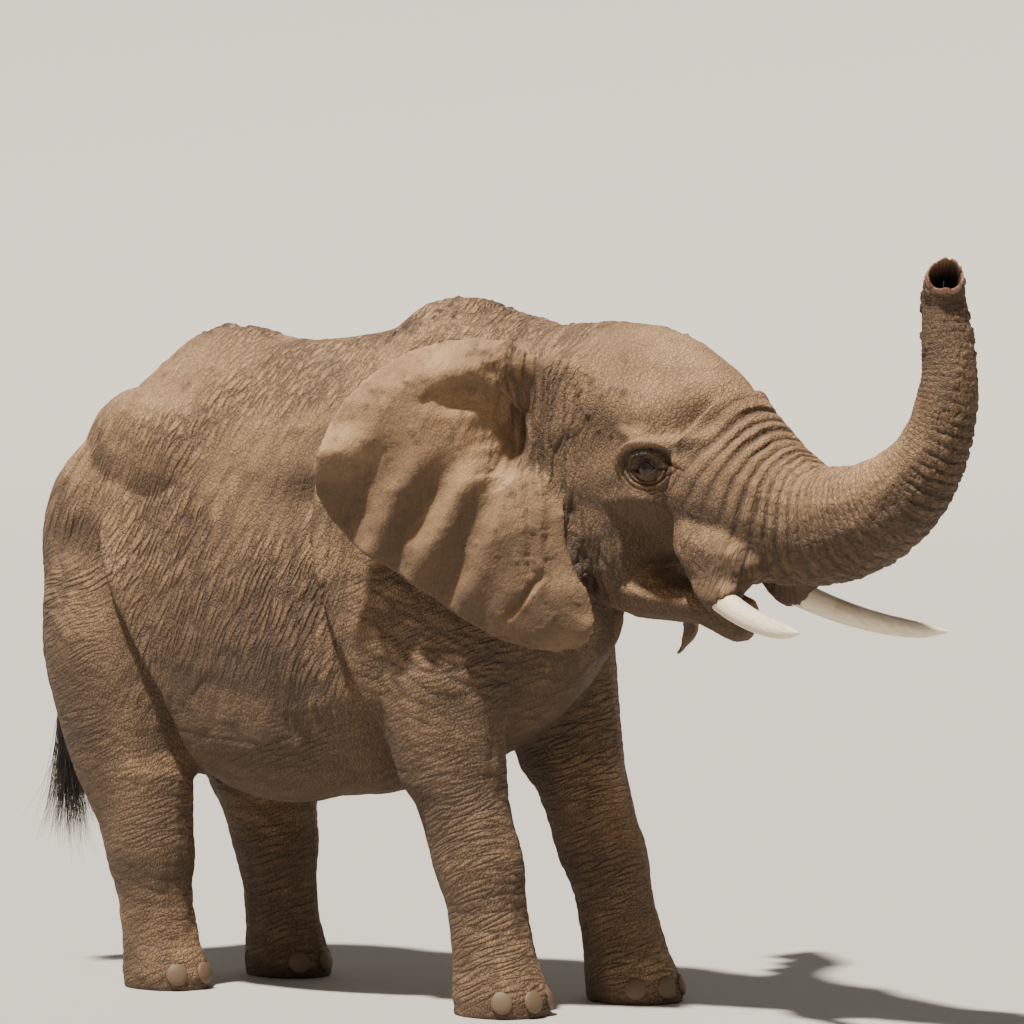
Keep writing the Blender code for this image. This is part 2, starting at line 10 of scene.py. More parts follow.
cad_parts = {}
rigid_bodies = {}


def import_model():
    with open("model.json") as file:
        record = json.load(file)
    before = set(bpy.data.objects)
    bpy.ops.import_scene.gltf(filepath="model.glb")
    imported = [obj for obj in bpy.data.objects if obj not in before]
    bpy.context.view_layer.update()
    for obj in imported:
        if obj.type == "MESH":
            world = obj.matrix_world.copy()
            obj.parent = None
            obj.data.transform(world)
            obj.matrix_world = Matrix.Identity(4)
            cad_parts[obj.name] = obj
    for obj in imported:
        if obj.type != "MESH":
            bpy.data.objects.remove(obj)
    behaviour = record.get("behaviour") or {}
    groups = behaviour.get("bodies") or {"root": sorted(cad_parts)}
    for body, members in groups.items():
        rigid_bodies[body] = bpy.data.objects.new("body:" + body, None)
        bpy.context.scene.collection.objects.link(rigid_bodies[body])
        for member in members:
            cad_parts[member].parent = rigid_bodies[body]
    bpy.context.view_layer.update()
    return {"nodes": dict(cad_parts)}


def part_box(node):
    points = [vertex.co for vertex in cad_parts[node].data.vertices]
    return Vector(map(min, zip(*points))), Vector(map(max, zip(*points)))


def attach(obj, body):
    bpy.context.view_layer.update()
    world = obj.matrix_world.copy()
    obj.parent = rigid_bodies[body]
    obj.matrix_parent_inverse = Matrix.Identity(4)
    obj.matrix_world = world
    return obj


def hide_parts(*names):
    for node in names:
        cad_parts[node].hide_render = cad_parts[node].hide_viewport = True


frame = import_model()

# where the body stands, and where the neck holds the head
pose = {"stand": (-0.513, -0.1879, 0.0), "neck": (0.716, 0.0, 0.0), "headTurn": -10.0}
stand = np.array(pose["stand"])
neckPivot = np.array(pose["neck"])
headTurn = math.radians(pose["headTurn"])
headAxes = np.array([  # ahead, to the left, up
    (math.cos(headTurn), math.sin(headTurn), 0.0),
    (-math.sin(headTurn), math.cos(headTurn), 0.0),
    (0.0, 0.0, 1.0),
])


def toBody(points):
    return points - stand


def toHead(points):
    return (toBody(points) - neckPivot) @ headAxes.T


def fromHead(points):
    return np.asarray(points, float) @ headAxes + neckPivot + stand


# numbers over the hide, all worked out for many points at once

def ramp(value, start, end):
    share = np.clip((value - start) / (end - start), 0.0, 1.0)
    return share * share * (3.0 - 2.0 * share)


def hump(value, middle, width):
    return np.exp(-(((value - middle) / width) ** 2))


def unit(vector):
    vector = np.asarray(vector, float)
    return vector / np.linalg.norm(vector)


def scatter(knot, seed):
    # a number from 0 to 1 for each knot of a lattice, always the same one
    mixed = knot[:, 0] * 73856093 ^ knot[:, 1] * 19349663 ^ knot[:, 2] * 83492791 ^ (seed + 7) * 2654435761
    mixed = (mixed ^ (mixed >> 13)) * 1274126177
    return ((mixed ^ (mixed >> 16)) & 0xFFFF) / 65535.0


def grain(points, seed=0):
    # smooth noise from -1 to 1, one knot per unit of length
    cell = np.floor(points).astype(np.int64)
    part = points - cell
    ease = part * part * (3.0 - 2.0 * part)
    total = np.zeros(len(points))
    for corner in itertools.product((0, 1), repeat=3):
        share = np.prod(np.where(corner, ease, 1.0 - ease), axis=1)
        total += (2.0 * scatter(cell + corner, seed) - 1.0) * share
    return total


def wander(points, reach, size, seed):
    # points moved about by up to "reach" in waves "size" long
    return points + reach * np.stack([grain(points / size, seed + k) for k in (1, 2, 3)], axis=1)


def network(points, along, size, seed):
    # valleys between cells drawn out along a direction: 1 on the lines, 0 inside the cells
    valley, furthest = 0.30, 9.0  # in cells
    first = unit(along)
    second = unit(np.cross(first, (0.0, 1.0, 0.001)))
    third = np.cross(first, second)
    axes = np.stack([first / size[0], second / size[1], third / size[2]])
    placed = wander(points, 0.35 * size[1], 3.0 * size[1], seed) @ axes.T
    cell = np.floor(placed).astype(np.int64)
    nearest, nextNearest = np.full(len(points), furthest), np.full(len(points), furthest)
    for corner in itertools.product((-1, 0, 1), repeat=3):
        knot = cell + corner
        spot = knot + np.stack([scatter(knot, seed + k) for k in (11, 12, 13)], axis=1)
        away = np.linalg.norm(spot - placed, axis=1)
        nextNearest = np.minimum(nextNearest, np.maximum(nearest, away))
        nearest = np.minimum(nearest, away)
    return 1.0 - ramp(nextNearest - nearest, 0.0, valley)


def rings(phase, width):
    # 1 at each whole number of the phase, falling off over the width
    return np.exp(-(((phase - np.round(phase)) / width) ** 2))


# meshes

def deselectAll():
    bpy.ops.object.select_all(action="DESELECT")


def makeActive(thing):
    deselectAll()
    thing.select_set(True)
    bpy.context.view_layer.objects.active = thing


def applied(thing, kind, **settings):
    makeActive(thing)
    modifier = thing.modifiers.new(kind.title(), kind)
    for name, value in settings.items():
        setattr(modifier, name, value)
    bpy.ops.object.modifier_apply(modifier=modifier.name)


def copyNodes(nodes, name):
    # copies of CAD nodes as one object, with their loose triangles merged
    deselectAll()
    for node in nodes:
        copy = frame["nodes"][node].copy()
        copy.data = copy.data.copy()
        copy.parent = None
        for key in list(copy.keys()):
            del copy[key]
        bpy.context.scene.collection.objects.link(copy)
        copy.select_set(True)
        bpy.context.view_layer.objects.active = copy
    if len(nodes) > 1:
        bpy.ops.object.join()
    made = bpy.context.view_layer.objects.active
    made.name = name
    made.data.materials.clear()
    bpy.ops.object.mode_set(mode="EDIT")
    bpy.ops.mesh.select_all(action="SELECT")
    bpy.ops.mesh.remove_doubles(threshold=0.00001)
    bpy.ops.mesh.normals_make_consistent(inside=False)
    bpy.ops.object.mode_set(mode="OBJECT")
    return made


def pointsOf(mesh):
    flat = np.empty(len(mesh.vertices) * 3, np.float32)
    mesh.vertices.foreach_get("co", flat)
    return flat.reshape(-1, 3).astype(float)


def setPoints(mesh, points):
    mesh.vertices.foreach_set("co", points.astype(np.float32).ravel())
    mesh.update()


def normalsOf(mesh):
    flat = np.empty(len(mesh.vertices) * 3, np.float32)
    mesh.vertex_normals.foreach_get("vector", flat)
    return flat.reshape(-1, 3).astype(float)


def edgesOf(mesh):
    flat = np.empty(len(mesh.edges) * 2, np.int32)
    mesh.edges.foreach_get("vertices", flat)
    return flat.reshape(-1, 2)


def store(mesh, key, numbers):
    # keeps a number for each point as an attribute
    mesh.attributes.new(key, "FLOAT", "POINT").data.foreach_set("value", numbers.astype(np.float32))


def takeBack(mesh, key):
    # reads such numbers from the mesh and deletes the attribute
    flat = np.empty(len(mesh.vertices), np.float32)
    mesh.attributes[key].data.foreach_get("value", flat)
    mesh.attributes.remove(mesh.attributes[key])
    return flat.astype(float)


def relaxed(points, edges, rounds, weight=1.0, back=0.53):
    # each point moves towards its neighbours' middle and then as far back: facets go and the size stays
    count = np.bincount(edges.ravel(), minlength=len(points))[:, None]
    for step in range(rounds * 2):
        total = np.zeros_like(points)
        for axis in range(3):
            total[:, axis] = np.bincount(edges[:, 0], points[edges[:, 1], axis], len(points))
            total[:, axis] += np.bincount(edges[:, 1], points[edges[:, 0], axis], len(points))
        points = points + (total / count - points) * (0.5 if step % 2 == 0 else -back) * weight
    return points


def relaxedWhere(points, edges, rounds, weight):
    # plain easing of the points that have a weight
    used = np.flatnonzero(weight > 0.005)
    number = np.full(len(points), -1)
    number[used] = np.arange(len(used))
    inside = number[edges]
    inside = inside[inside.min(axis=1) >= 0]
    points[used] = relaxed(points[used], inside, rounds, weight[used, None], back=0.0)
    return points


def subdivideWhere(thing, wanted):
    # halves the faces whose middles "wanted" picks; their neighbours join up with no gap
    mesh = thing.data
    middles = np.empty(len(mesh.polygons) * 3, np.float32)
    mesh.polygons.foreach_get("center", middles)
    picked = wanted(middles.reshape(-1, 3).astype(float))
    makeActive(thing)
    bpy.ops.object.mode_set(mode="EDIT")
    bpy.ops.mesh.select_mode(type="FACE")
    bpy.ops.mesh.select_all(action="DESELECT")
    bpy.ops.object.mode_set(mode="OBJECT")
    mesh.polygons.foreach_set("select", picked)
    bpy.ops.object.mode_set(mode="EDIT")
    bpy.ops.mesh.subdivide(number_cuts=1, ngon=False)
    bpy.ops.object.mode_set(mode="OBJECT")


def largestIsland(thing):
    makeActive(thing)
    before = set(bpy.data.objects)
    bpy.ops.object.mode_set(mode="EDIT")
    bpy.ops.mesh.select_all(action="SELECT")
    bpy.ops.mesh.separate(type="LOOSE")
    bpy.ops.object.mode_set(mode="OBJECT")
    found = [thing, *(set(bpy.data.objects) - before)]
    kept = max(found, key=lambda piece: len(piece.data.vertices))
    for piece in found:
        if piece != kept:
            bpy.data.objects.remove(piece)
    return kept


def nodeTree(nodes):
    # the faces of CAD nodes, for measuring how far away they are
    corners, faces, start = [], [], 0
    for node in nodes:
        mesh = frame["nodes"][node].data
        corners.append(pointsOf(mesh))
        faces += [tuple(start + corner for corner in face.vertices) for face in mesh.polygons]
        start += len(mesh.vertices)
    return BVHTree.FromPolygons(np.concatenate(corners).tolist(), faces)


def distanceTo(tree, points, furthest=0.3):
    return np.array([tree.find_nearest(point, furthest)[3] or furthest for point in points])


def nearestOf(points, places):
    return np.min([np.linalg.norm(points - place, axis=1) for place in places], axis=0)


def dress(piece, material, slot, *nodes):
    # gives a finished piece its material, and hides the CAD nodes that it replaces
    piece.data.materials.clear()
    piece.data.materials.append(material)
    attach(piece, "root")
    if nodes:
        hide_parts(*nodes)


# skin: one mesh over the nodes of flesh and the ears

skin = {
    "voxel": 0.009,  # grid on which the nodes are joined
    "easing": 44,  # rounds that take out the facets
    "earEasing": 0.30,  # share of that on the thin ears
    "rootEasing": 260,  # rounds that melt the ears' upper front edges into the temples
    "earFill": [  # middles of the balls that join the ears to the temples: ahead, aside, height
        (0.25, 0.250, 2.205), (0.30, 0.228, 2.205), (0.35, 0.205, 2.20),
        (0.25, 0.255, 2.12), (0.31, 0.248, 2.12),
    ],
    "earFillRadius": 0.060,
    "socket": (0.83, 0.187, 1.480),  # middle of the ball that closes the hide round a tusk
    "socketRadius": 0.057,
    "inflate": 0.0015,  # closes the thin cuts between the nodes
    "sink": 0.0005,  # how far the hide lies inside the nodes
}
sides = {"Right": -1, "Left": 1}
cut = {  # where the skin is split: distances ahead are in the head's directions
    "headStart": 0.12,
    "faceStart": 0.70,
    "trunkStart": 1.16,
    "jawHeight": 1.25,
    "rearEnd": -0.45,
}
fleshWords = ("torso", "neck", "head", "lower_jaw", "trunk", "fore", "hind")
fleshNodes = [name for name in frame["nodes"] if name.startswith(fleshWords)]

# the line along the middle of forehead and trunk, in the head's directions
trunkLine = np.array([
    (0.45, 0.0, 2.02), (0.65, 0.0, 1.87), (0.83, 0.0, 1.76), (1.0, 0.0, 1.70), (1.175, 0.0, 1.692),
    (1.325, 0.0, 1.725), (1.452, 0.0, 1.792), (1.555, 0.0, 1.885), (1.621, 0.0, 1.995), (1.656, 0.0, 2.11),
    (1.662, 0.0, 2.228), (1.652, 0.0, 2.34), (1.646, -0.008, 2.43), (1.66, -0.03, 2.494), (1.686, -0.06, 2.526),
])


def smoothLine(knots, steps):
    # a curve through the knots, as short straight pieces
    padded = np.vstack([2 * knots[0] - knots[1], knots, 2 * knots[-1] - knots[-2]])
    made = []
    for a, b, c, d in zip(padded, padded[1:], padded[2:], padded[3:]):
        for t in np.arange(steps) / steps:
            square, cube = 2 * a - 5 * b + 4 * c - d, 3 * b - a - 3 * c + d
            made.append(0.5 * (2 * b + (c - a) * t + square * t**2 + cube * t**3))
    return np.array([*made, knots[-1]])


trunkPath = smoothLine(trunkLine, 5)
ear = {
    "root": 0.285,  # how far ahead of the neck's pivot it grows
    "out": {"Right": 0.29, "Left": 0.35},  # how far from the head's middle
    "spread": {"Right": 35.0, "Left": 54.0},  # degrees from the head's side
    "top": 2.30,
    "stretch": {"Right": 1.0, "Left": 1.043},  # height of each flap, as a share of the right one's
}
eye = {
    "radius": 0.039,
    "lid": 0.0035,  # thickness of the lids
    "width": 0.0355,  # half the opening
    "above": 0.0265,
    "below": 0.0205,
}
trunkRadius = 0.13  # on which the marks round the trunk are laid out


def middleOf(node):
    low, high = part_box(node)
    return np.array((low + high) / 2)


def alongTrunk(inHead):
    # distance along the trunk's line, and the place round it as (across, above) of a circle
    best = np.full(len(inHead), np.inf)
    run, around, start = np.zeros(len(inHead)), np.zeros((len(inHead), 2)), 0.0
    for a, b in zip(trunkPath, trunkPath[1:]):
        length = np.linalg.norm(b - a)
        ahead = (b - a) / length
        share = np.clip((inHead - a) @ ahead, 0.0, length)
        offset = inHead - a - share[:, None] * ahead
        away = np.linalg.norm(offset, axis=1)
        above = unit(np.cross(ahead, (0, 1, 0)))
        nearer = away < best
        run[nearer] = (start + share)[nearer]
        turned = np.stack([offset[:, 1], offset @ above], axis=1) / np.maximum(away, 0.001)[:, None]
        around[nearer] = turned[nearer]
        best = np.minimum(best, away)
        start += length
    return run, around


def earPlace(inHead, word):
    # back from the ear's root, height on the right ear, and the direction that the flap faces
    side, spread = sides[word], math.radians(ear["spread"][word])
    local = inHead - (ear["root"], ear["out"][word] * side, 0.0)
    back = local @ (-math.cos(spread), side * math.sin(spread), 0.0)
    height = ear["top"] - (ear["top"] - inHead[:, 2]) / ear["stretch"][word]
    return back, height, np.array((math.sin(spread), side * math.cos(spread), 0.0)) @ headAxes


def bodyParts(points):
    # how much of each point belongs to each part, from 0 to 1
    x, y, z = toBody(points).T
    inHead = toHead(points)
    f = inHead[:, 0]
    run, around = alongTrunk(inHead)
    ahead = ramp(f, 0.02, 0.20) * ramp(z, 1.12, 1.32)
    trunk = ramp(run, 0.50, 0.66) * ramp(f, 0.74, 0.88)
    legs = ramp(z, 1.15, 0.80) * (1 - ahead)
    shoulder = ramp(x, 0.12, 0.26) * ramp(x, 0.95, 0.70) * ramp(z, 1.75, 1.45) * (1 - ahead) * (1 - legs)
    neck = ramp(x, 0.42, 0.62) * (1 - ahead) * ramp(z, 1.20, 1.60)
    thigh = ramp(x, -0.70, -0.92) * ramp(z, 1.65, 1.40) * (1 - legs)
    torso = np.clip(1 - ahead - legs - neck - shoulder - thigh, 0.0, 1.0)
    return {
        "run": run, "around": around, "head": ahead * (1 - trunk), "trunk": trunk, "legs": legs,
        "shoulder": shoulder * (1 - neck), "neck": neck, "thigh": thigh, "torso": torso,
    }


def overlap(place, line, height, rise, drop, reach):
    # a fold where the hide on one side of a line hangs over the other: "line" holds (height, place)
    heights, places = np.array(line).T
    past = place - np.interp(height, heights, places)
    upper = rise * np.exp(-((past / reach[0]) ** 2)) * ramp(past, -0.006, 0.012)
    lower = drop * np.exp(-((past / reach[1]) ** 2)) * ramp(past, 0.012, -0.008)
    first, last = heights[0], heights[-1]
    ends = ramp(height, first - 0.06, first + 0.04) * ramp(height, last + 0.08, last - 0.08)
    return (upper - lower) * ends


def bigForms(points, part):
    # muscles, hollows and hanging folds, as metres outwards
    body, inHead = toBody(points), toHead(points)
    x, y, z = body.T
    f, s, h = inHead.T
    left = y > 0
    aside = ramp(np.abs(y), 0.16, 0.24)
    form = np.zeros(len(points))
    # the shoulder stands proud of the flank, and the flank hangs over the thigh
    reachFore = np.interp(z, (0.0, 0.38, 0.79, 1.24, 1.70), (0.224, 0.185, 0.142, 0.084, 0.0))
    reachHind = np.interp(z, (0.0, 0.36, 0.79, 1.24, 1.70), (0.196, 0.198, 0.17, 0.08, 0.0))
    behindLeg = [
        (0.76, 0.315), (0.81, 0.30), (0.95, 0.262), (1.19, 0.172), (1.385, 0.08), (1.60, 0.015), (1.80, 0.0),
    ]
    form += aside * overlap(x - reachFore * left, behindLeg, z, 0.026, 0.044, (0.20, 0.16)) * (x < 0.7)
    flankEdge = [(0.80, -0.53), (1.01, -0.615), (1.25, -0.73), (1.46, -0.83), (1.60, -0.88)]
    form += aside * overlap(x - reachHind * left, flankEdge, z, 0.020, 0.040, (0.10, 0.20)) * (x > -1.2)
    # elbow, knee and hock
    kneeAt = np.where(x > 0, 0.50, 0.46)
    form += 0.010 * hump(z, kneeAt, 0.09) * (1 - part["head"]) * ramp(z, 0.9, 0.7)
    # head: temple, hollows before and above the eye, cheek under the cheekbone
    onSide = ramp(np.abs(s), 0.10, 0.18) * part["head"]
    form += onSide * 0.026 * hump(f, 0.60, 0.09) * hump(h, 2.07, 0.075)
    form -= onSide * 0.032 * hump(f, 0.80, 0.080) * hump(h, 2.03, 0.090)
    form -= onSide * 0.020 * hump(f, 0.44, 0.08) * hump(h, 1.97, 0.12)
    cheekbone = h - 0.25 * (f - 0.70)
    form += onSide * 0.020 * hump(cheekbone, 1.960, 0.030) * ramp(f, 0.48, 0.60) * ramp(f, 0.88, 0.76)
    underEar = f - np.interp(h, (1.48, 1.75), (0.362, 0.298))
    form -= onSide * 0.013 * (hump(underEar, 0.0, 0.022) * ramp(h, 1.82, 1.70) * ramp(h, 1.40, 1.50))
    browFold = [(1.97, 0.735), (2.06, 0.775), (2.14, 0.830), (2.22, 0.865)]
    onBrow = ramp(np.abs(s), 0.03, 0.08) * ramp(f, 1.2, 1.0) * part["head"]
    form += onBrow * overlap(f, browFold, h, 0.013, 0.017, (0.06, 0.05))
    form -= onSide * 0.030 * hump(f, 0.570, 0.110) * hump(h, 1.62, 0.12)
    form += onSide * 0.012 * hump(f, 0.56, 0.13) * hump(h, 1.765, 0.035)
    sheathEdge = [(1.42, 0.85), (1.51, 0.786), (1.65, 0.722), (1.78, 0.700), (1.86, 0.72)]
    onSheath = ramp(np.abs(s), 0.08, 0.14) * ramp(f, 0.45, 0.55) * ramp(f, 1.1, 0.95) * ramp(h, 1.36, 1.45)
    form += onSheath * overlap(f, sheathEdge, h, 0.014, 0.022, (0.09, 0.07))
    return form


def wrinkles(points, part):
    # depth of folds and wrinkles in metres
    body, inHead = toBody(points), toHead(points)
    x, y, z = body.T
    f, s, h = inHead.T
    uneven = 0.55 + 0.45 * grain(points * 3.1, 11)
    depth = np.zeros(len(points))
    behindLeg = hump(x, 0.02, 0.26) * ramp(z, 2.0, 1.6)
    back = ramp(z, 1.85, 2.25)
    flank = part["torso"] * (1 - behindLeg) * (1 - 0.55 * back)
    jawAngle = part["head"] * hump(f, 0.36, 0.11) * hump(h, 1.57, 0.17)
    tuskSheath = part["head"] * hump(f, 0.80, 0.13) * hump(h, 1.60, 0.16)
    zones = (
        # weight, direction of the lines, size of the cells, depth, seed
        (flank, (0.50, 0.0, 0.87), (0.26, 0.058, 0.30), 0.0070, 21),
        (part["torso"] * behindLeg, (0.12, 0.0, 1.0), (0.32, 0.050, 0.30), 0.0105, 22),
        (part["neck"], (0.10, 0.0, 1.0), (0.24, 0.045, 0.25), 0.0080, 24),
        (part["shoulder"], (0.95, 0.0, -0.35), (0.18, 0.052, 0.20), 0.0070, 25),
        (part["thigh"], (0.75, 0.0, -0.66), (0.18, 0.050, 0.20), 0.0070, 26),
        (part["legs"], (1.0, 0.35, -0.12), (0.20, 0.050, 0.20), 0.0050, 27),
        (jawAngle, (0.0, 0.0, 1.0), (0.25, 0.042, 0.20), 0.0120, 30),
        (part["head"], (-0.75, 0.0, 1.0), (0.110, 0.024, 0.06), 0.0018, 28),
        (tuskSheath, (-0.45, 0.0, 1.0), (0.070, 0.024, 0.06), 0.0042, 38),
    )
    for weight, along, size, deep, seed in zones:
        used = weight > 0.01
        depth[used] += (weight * uneven)[used] * deep * network(points[used], along, size, seed)
    # head: upright wrinkles on nape, temple and jaw angle
    nape = ramp(f, 0.40, 0.16) + 1.2 * hump(f, 0.34, 0.11) * hump(h, 1.56, 0.13)
    nape = np.clip(nape + 0.8 * hump(f, 0.22, 0.16) * hump(h, 2.05, 0.25), 0, 1) * part["head"]
    used = nape > 0.01
    depth[used] += nape[used] * 0.0075 * network(points[used], (0.05, 0.0, 1.0), (0.20, 0.034, 0.25), 29)
    # trunk: rings that close up towards the tip, lumpy underneath, crossed by short lines along it
    run, around = part["run"], part["around"]
    under = ramp(around[:, 1], 0.1, -0.8)
    runs = np.array([0.0, 0.35, 0.66, 0.86, 1.20, 1.60, 2.20])
    spacing = np.array([0.075, 0.066, 0.056, 0.0290, 0.0215, 0.0185, 0.016])
    steps = np.concatenate([[0.0], np.cumsum(np.diff(runs) * 2 / (spacing[1:] + spacing[:-1]))])
    bent = run + 0.011 * grain(inHead * 7.0, 31) + 0.005 * grain(inHead * 19.0, 32)
    phase = np.interp(bent, runs, steps)
    baseFolds = (ramp(run, 0.24, 0.38) * ramp(run, 0.85, 0.62) * ramp(around[:, 1], -0.35, 0.25)
                 * ramp(f, 0.42, 0.62))
    deep = [0.0120, 0.0105, 0.0038, 0.0026, 0.0022, 0.0016]
    ringDepth = np.interp(run, [0.3, 0.68, 0.88, 1.2, 1.6, 2.2], deep)
    strength = 0.55 + 0.9 * np.clip(0.5 + grain(inHead * 8.0, 36), 0, 1)
    topAndSides = ramp(around[:, 1], -0.75, 0.0)
    ringed = np.maximum(part["trunk"] * (0.35 + 0.65 * topAndSides), baseFolds)
    depth += ringed * rings(phase, 0.19) * ringDepth * strength
    coarse = rings(phase / 1.7 + 0.45 * grain(inHead * 6.0, 34), 0.16)
    under = under * (0.35 + 0.65 * ramp(run, 1.75, 1.25))
    depth += part["trunk"] * under * coarse * 0.0050 * strength
    unrolled = np.stack([run, around[:, 0] * trunkRadius, around[:, 1] * trunkRadius], axis=1)
    lumps = network(unrolled, (0.0, 1.0, 0.0), (0.045, 0.026, 0.045), 37)
    depth += part["trunk"] * under * lumps * 0.0042
    strips = network(unrolled, (1.0, 0.0, 0.0), (0.036, 0.020, 0.020), 35)
    depth += part["trunk"] * strips * 0.0019
    return depth


def earForms(u, v):
    # hollow and other forms of an ear's flap, as metres outwards: u back from the root, v the height
    flat = np.stack([u, v, u * 0], axis=1)
    cupBack, cupHeight, cupWay = 0.33, 1.965, 42  # the hollow's middle, and the way to its rim in degrees
    angle = np.degrees(np.arctan2(v - cupHeight, cupBack - u)) % 360  # from the root's side, upwards
    arc = np.hypot(u - cupBack, v - cupHeight) + 0.008 * grain(flat * 8, 50)
    rimmed = ramp(np.abs((angle - cupWay + 180) % 360 - 180), 108, 52)
    hollow = -0.048 * ramp(arc, 0.208, 0.188) * ramp(arc, 0.075, 0.172) * rimmed
    roll = 0.012 * hump(arc, 0.232, 0.036) * rimmed * ramp(u, 0.20, 0.32)
    phase = 0.90 * u + 0.44 * v + 0.010 * grain(flat * 6, 51)
    pleats = (0.024 * np.cos(math.tau * (phase - 1.0975) / 0.19) * ramp(u, 0.16, 0.36)
              * ramp(v, 1.98, 1.78) * ramp(phase, 1.44, 1.40) * ramp(v, 1.30, 1.45))
    curl = 0.070 * ramp(phase, 1.405, 1.60) * ramp(v, 2.03, 1.90)
    curl -= 0.020 * hump(phase, 1.42, 0.04) * ramp(v, 2.0, 1.88)
    bulge = 0.022 * hump(u, 0.42, 0.16) * hump(v, 1.93, 0.13)
    across, along = (u - 0.13) * 0.66 - (v - 1.44) * 0.75, (u - 0.13) * 0.75 + (v - 1.44) * 0.66
    crease = -0.014 * hump(along + 0.008 * grain(flat * 9, 57), 0.0, 0.012) * ramp(np.abs(across), 0.12, 0.07)
    waved = u - 0.015 * grain(flat * 5, 56)
    strip = 0.014 * hump(waved, 0.075, 0.020) * ramp(v, 2.02, 1.90) * ramp(v, 1.42, 1.55)
    strip -= 0.010 * hump(waved, 0.115, 0.018) * ramp(v, 2.02, 1.90) * ramp(v, 1.42, 1.55)
    lobe = 0.011 * grain(flat * 13, 52) * ramp(v, 1.62, 1.38) + 0.008 * grain(flat * 5, 54)
    return hollow, roll + pleats + curl + bulge + crease + strip + lobe


def eyeAxes(word):
    # the ball's middle, the way it looks and the way to the front corner of the lids
    outward = unit((headAxes[1] * sides[word]) + headAxes[0] * 0.10)
    forward = unit(headAxes[0] - outward * (headAxes[0] @ outward))
    return middleOf("eye_" + word.lower()), outward, forward


def openEye(points, normals, word):
    # lids close over the eyeball, with folds round them, and an almond-shaped opening is pushed in behind it
    middle, outward, forward = eyeAxes(word)
    upward = np.array((0.0, 0.0, 1.0))
    near = np.flatnonzero(np.linalg.norm(points - middle, axis=1) < 0.20)
    local = points[near] - middle
    a, b, c = local @ forward, local @ upward, local @ outward
    front = ramp(c, -0.05, -0.01)
    b = b - 0.05 * a
    angle = np.arctan2(b, a)
    flat = np.hypot(a / 1.32, b) * (1 - 0.06 * np.cos(angle - 0.9)) + 0.0045 * grain(points[near] * 17.0, 41)
    above = ramp(b, -0.012, 0.024)
    folds = 0.0130 * hump(flat, 0.0660, 0.0085) * above
    folds += (0.0035 * hump(flat, 0.0430, 0.0032)
              + 0.0025 * hump(flat, 0.0530, 0.0030) * above * ramp(a, 0.03, -0.02))
    folds += 0.0050 * hump(flat, 0.0540, 0.0042) * (1 - above)
    folds += 0.0055 * hump(flat, 0.0710, 0.0055) * (1 - above) * ramp(a, 0.07, 0.0)
    folds += 0.0030 * hump(flat, 0.0860, 0.0055) * (1 - above)
    folds += 0.0030 * hump(flat, 0.0980, 0.0060) * above
    # both corners run on as folds, the front one down towards the trunk
    corners = hump(b + 0.10 * (a - 0.04), 0.0, 0.0045) * ramp(a, 0.032, 0.042) * ramp(a, 0.090, 0.065)
    corners += hump(b + 0.004, 0.0, 0.0040) * ramp(a, -0.032, -0.040) * ramp(a, -0.070, -0.055)
    upperFold, lowerFold = b - 0.030 + 0.50 * (a - 0.06), b + 0.030 - 0.35 * (a - 0.06)
    corners += 0.8 * hump(upperFold, 0.0, 0.006) * ramp(a, 0.055, 0.070) * ramp(a, 0.17, 0.12)
    corners += 0.7 * hump(lowerFold, 0.0, 0.005) * ramp(a, 0.050, 0.065) * ramp(a, 0.13, 0.09)
    folds += 0.0065 * corners
    lift = 0.014 * hump(flat, 0.085, 0.013) * above + 0.005 * hump(flat, 0.0625, 0.005) * (1 - above)
    lift += 0.005 * hump(flat, 0.0475, 0.0045)
    moved = points[near] + normals[near] * ((lift - folds) * front)[:, None]
    local = moved - middle
    a, b, c = local @ forward, local @ upward, local @ outward
    away = np.linalg.norm(local, axis=1)
    ray = local / away[:, None]
    # the opening, measured on the ball
    a, b = ray @ forward * eye["radius"], ray @ upward * eye["radius"]
    tilted = b - 0.10 * a
    arch = np.clip(1 - (a / eye["width"]) ** 2, 0.0, 1.0)
    inside = np.where(tilted > 0, eye["above"] * arch ** 0.8 - tilted, eye["below"] * arch + tilted)
    inside = np.where((np.abs(a) < eye["width"]) & (c > 0), inside, -0.01)
    opened = ramp(inside, -0.0010, 0.0018)
    lid = eye["radius"] + eye["lid"] + 0.0025 * hump(inside, -0.003, 0.0025)
    cover = lid + 0.35 * np.maximum(away - lid, 0)
    blend = ramp(away, lid + 0.012, lid + 0.001)
    reach = np.where(away < lid, lid, away * (1 - blend) + cover * blend)
    reach = reach * (1 - opened) + (eye["radius"] - 0.009) * opened
    placed = points.copy()
    placed[near] = np.where((c > 0)[:, None], middle + ray * reach[:, None], moved)
    shade, wet = np.zeros(len(points)), np.zeros(len(points))
    # painted shade in the folds round the lids, and a darker ring round the opening
    shade[near] = np.clip(folds / 0.010 + 0.22 * ramp(flat, 0.068, 0.045), 0, 1) * front
    wet[near] = np.maximum(opened, ramp(inside, -0.0050, -0.001) * 0.80) * (c > 0)
    return placed, shade, wet


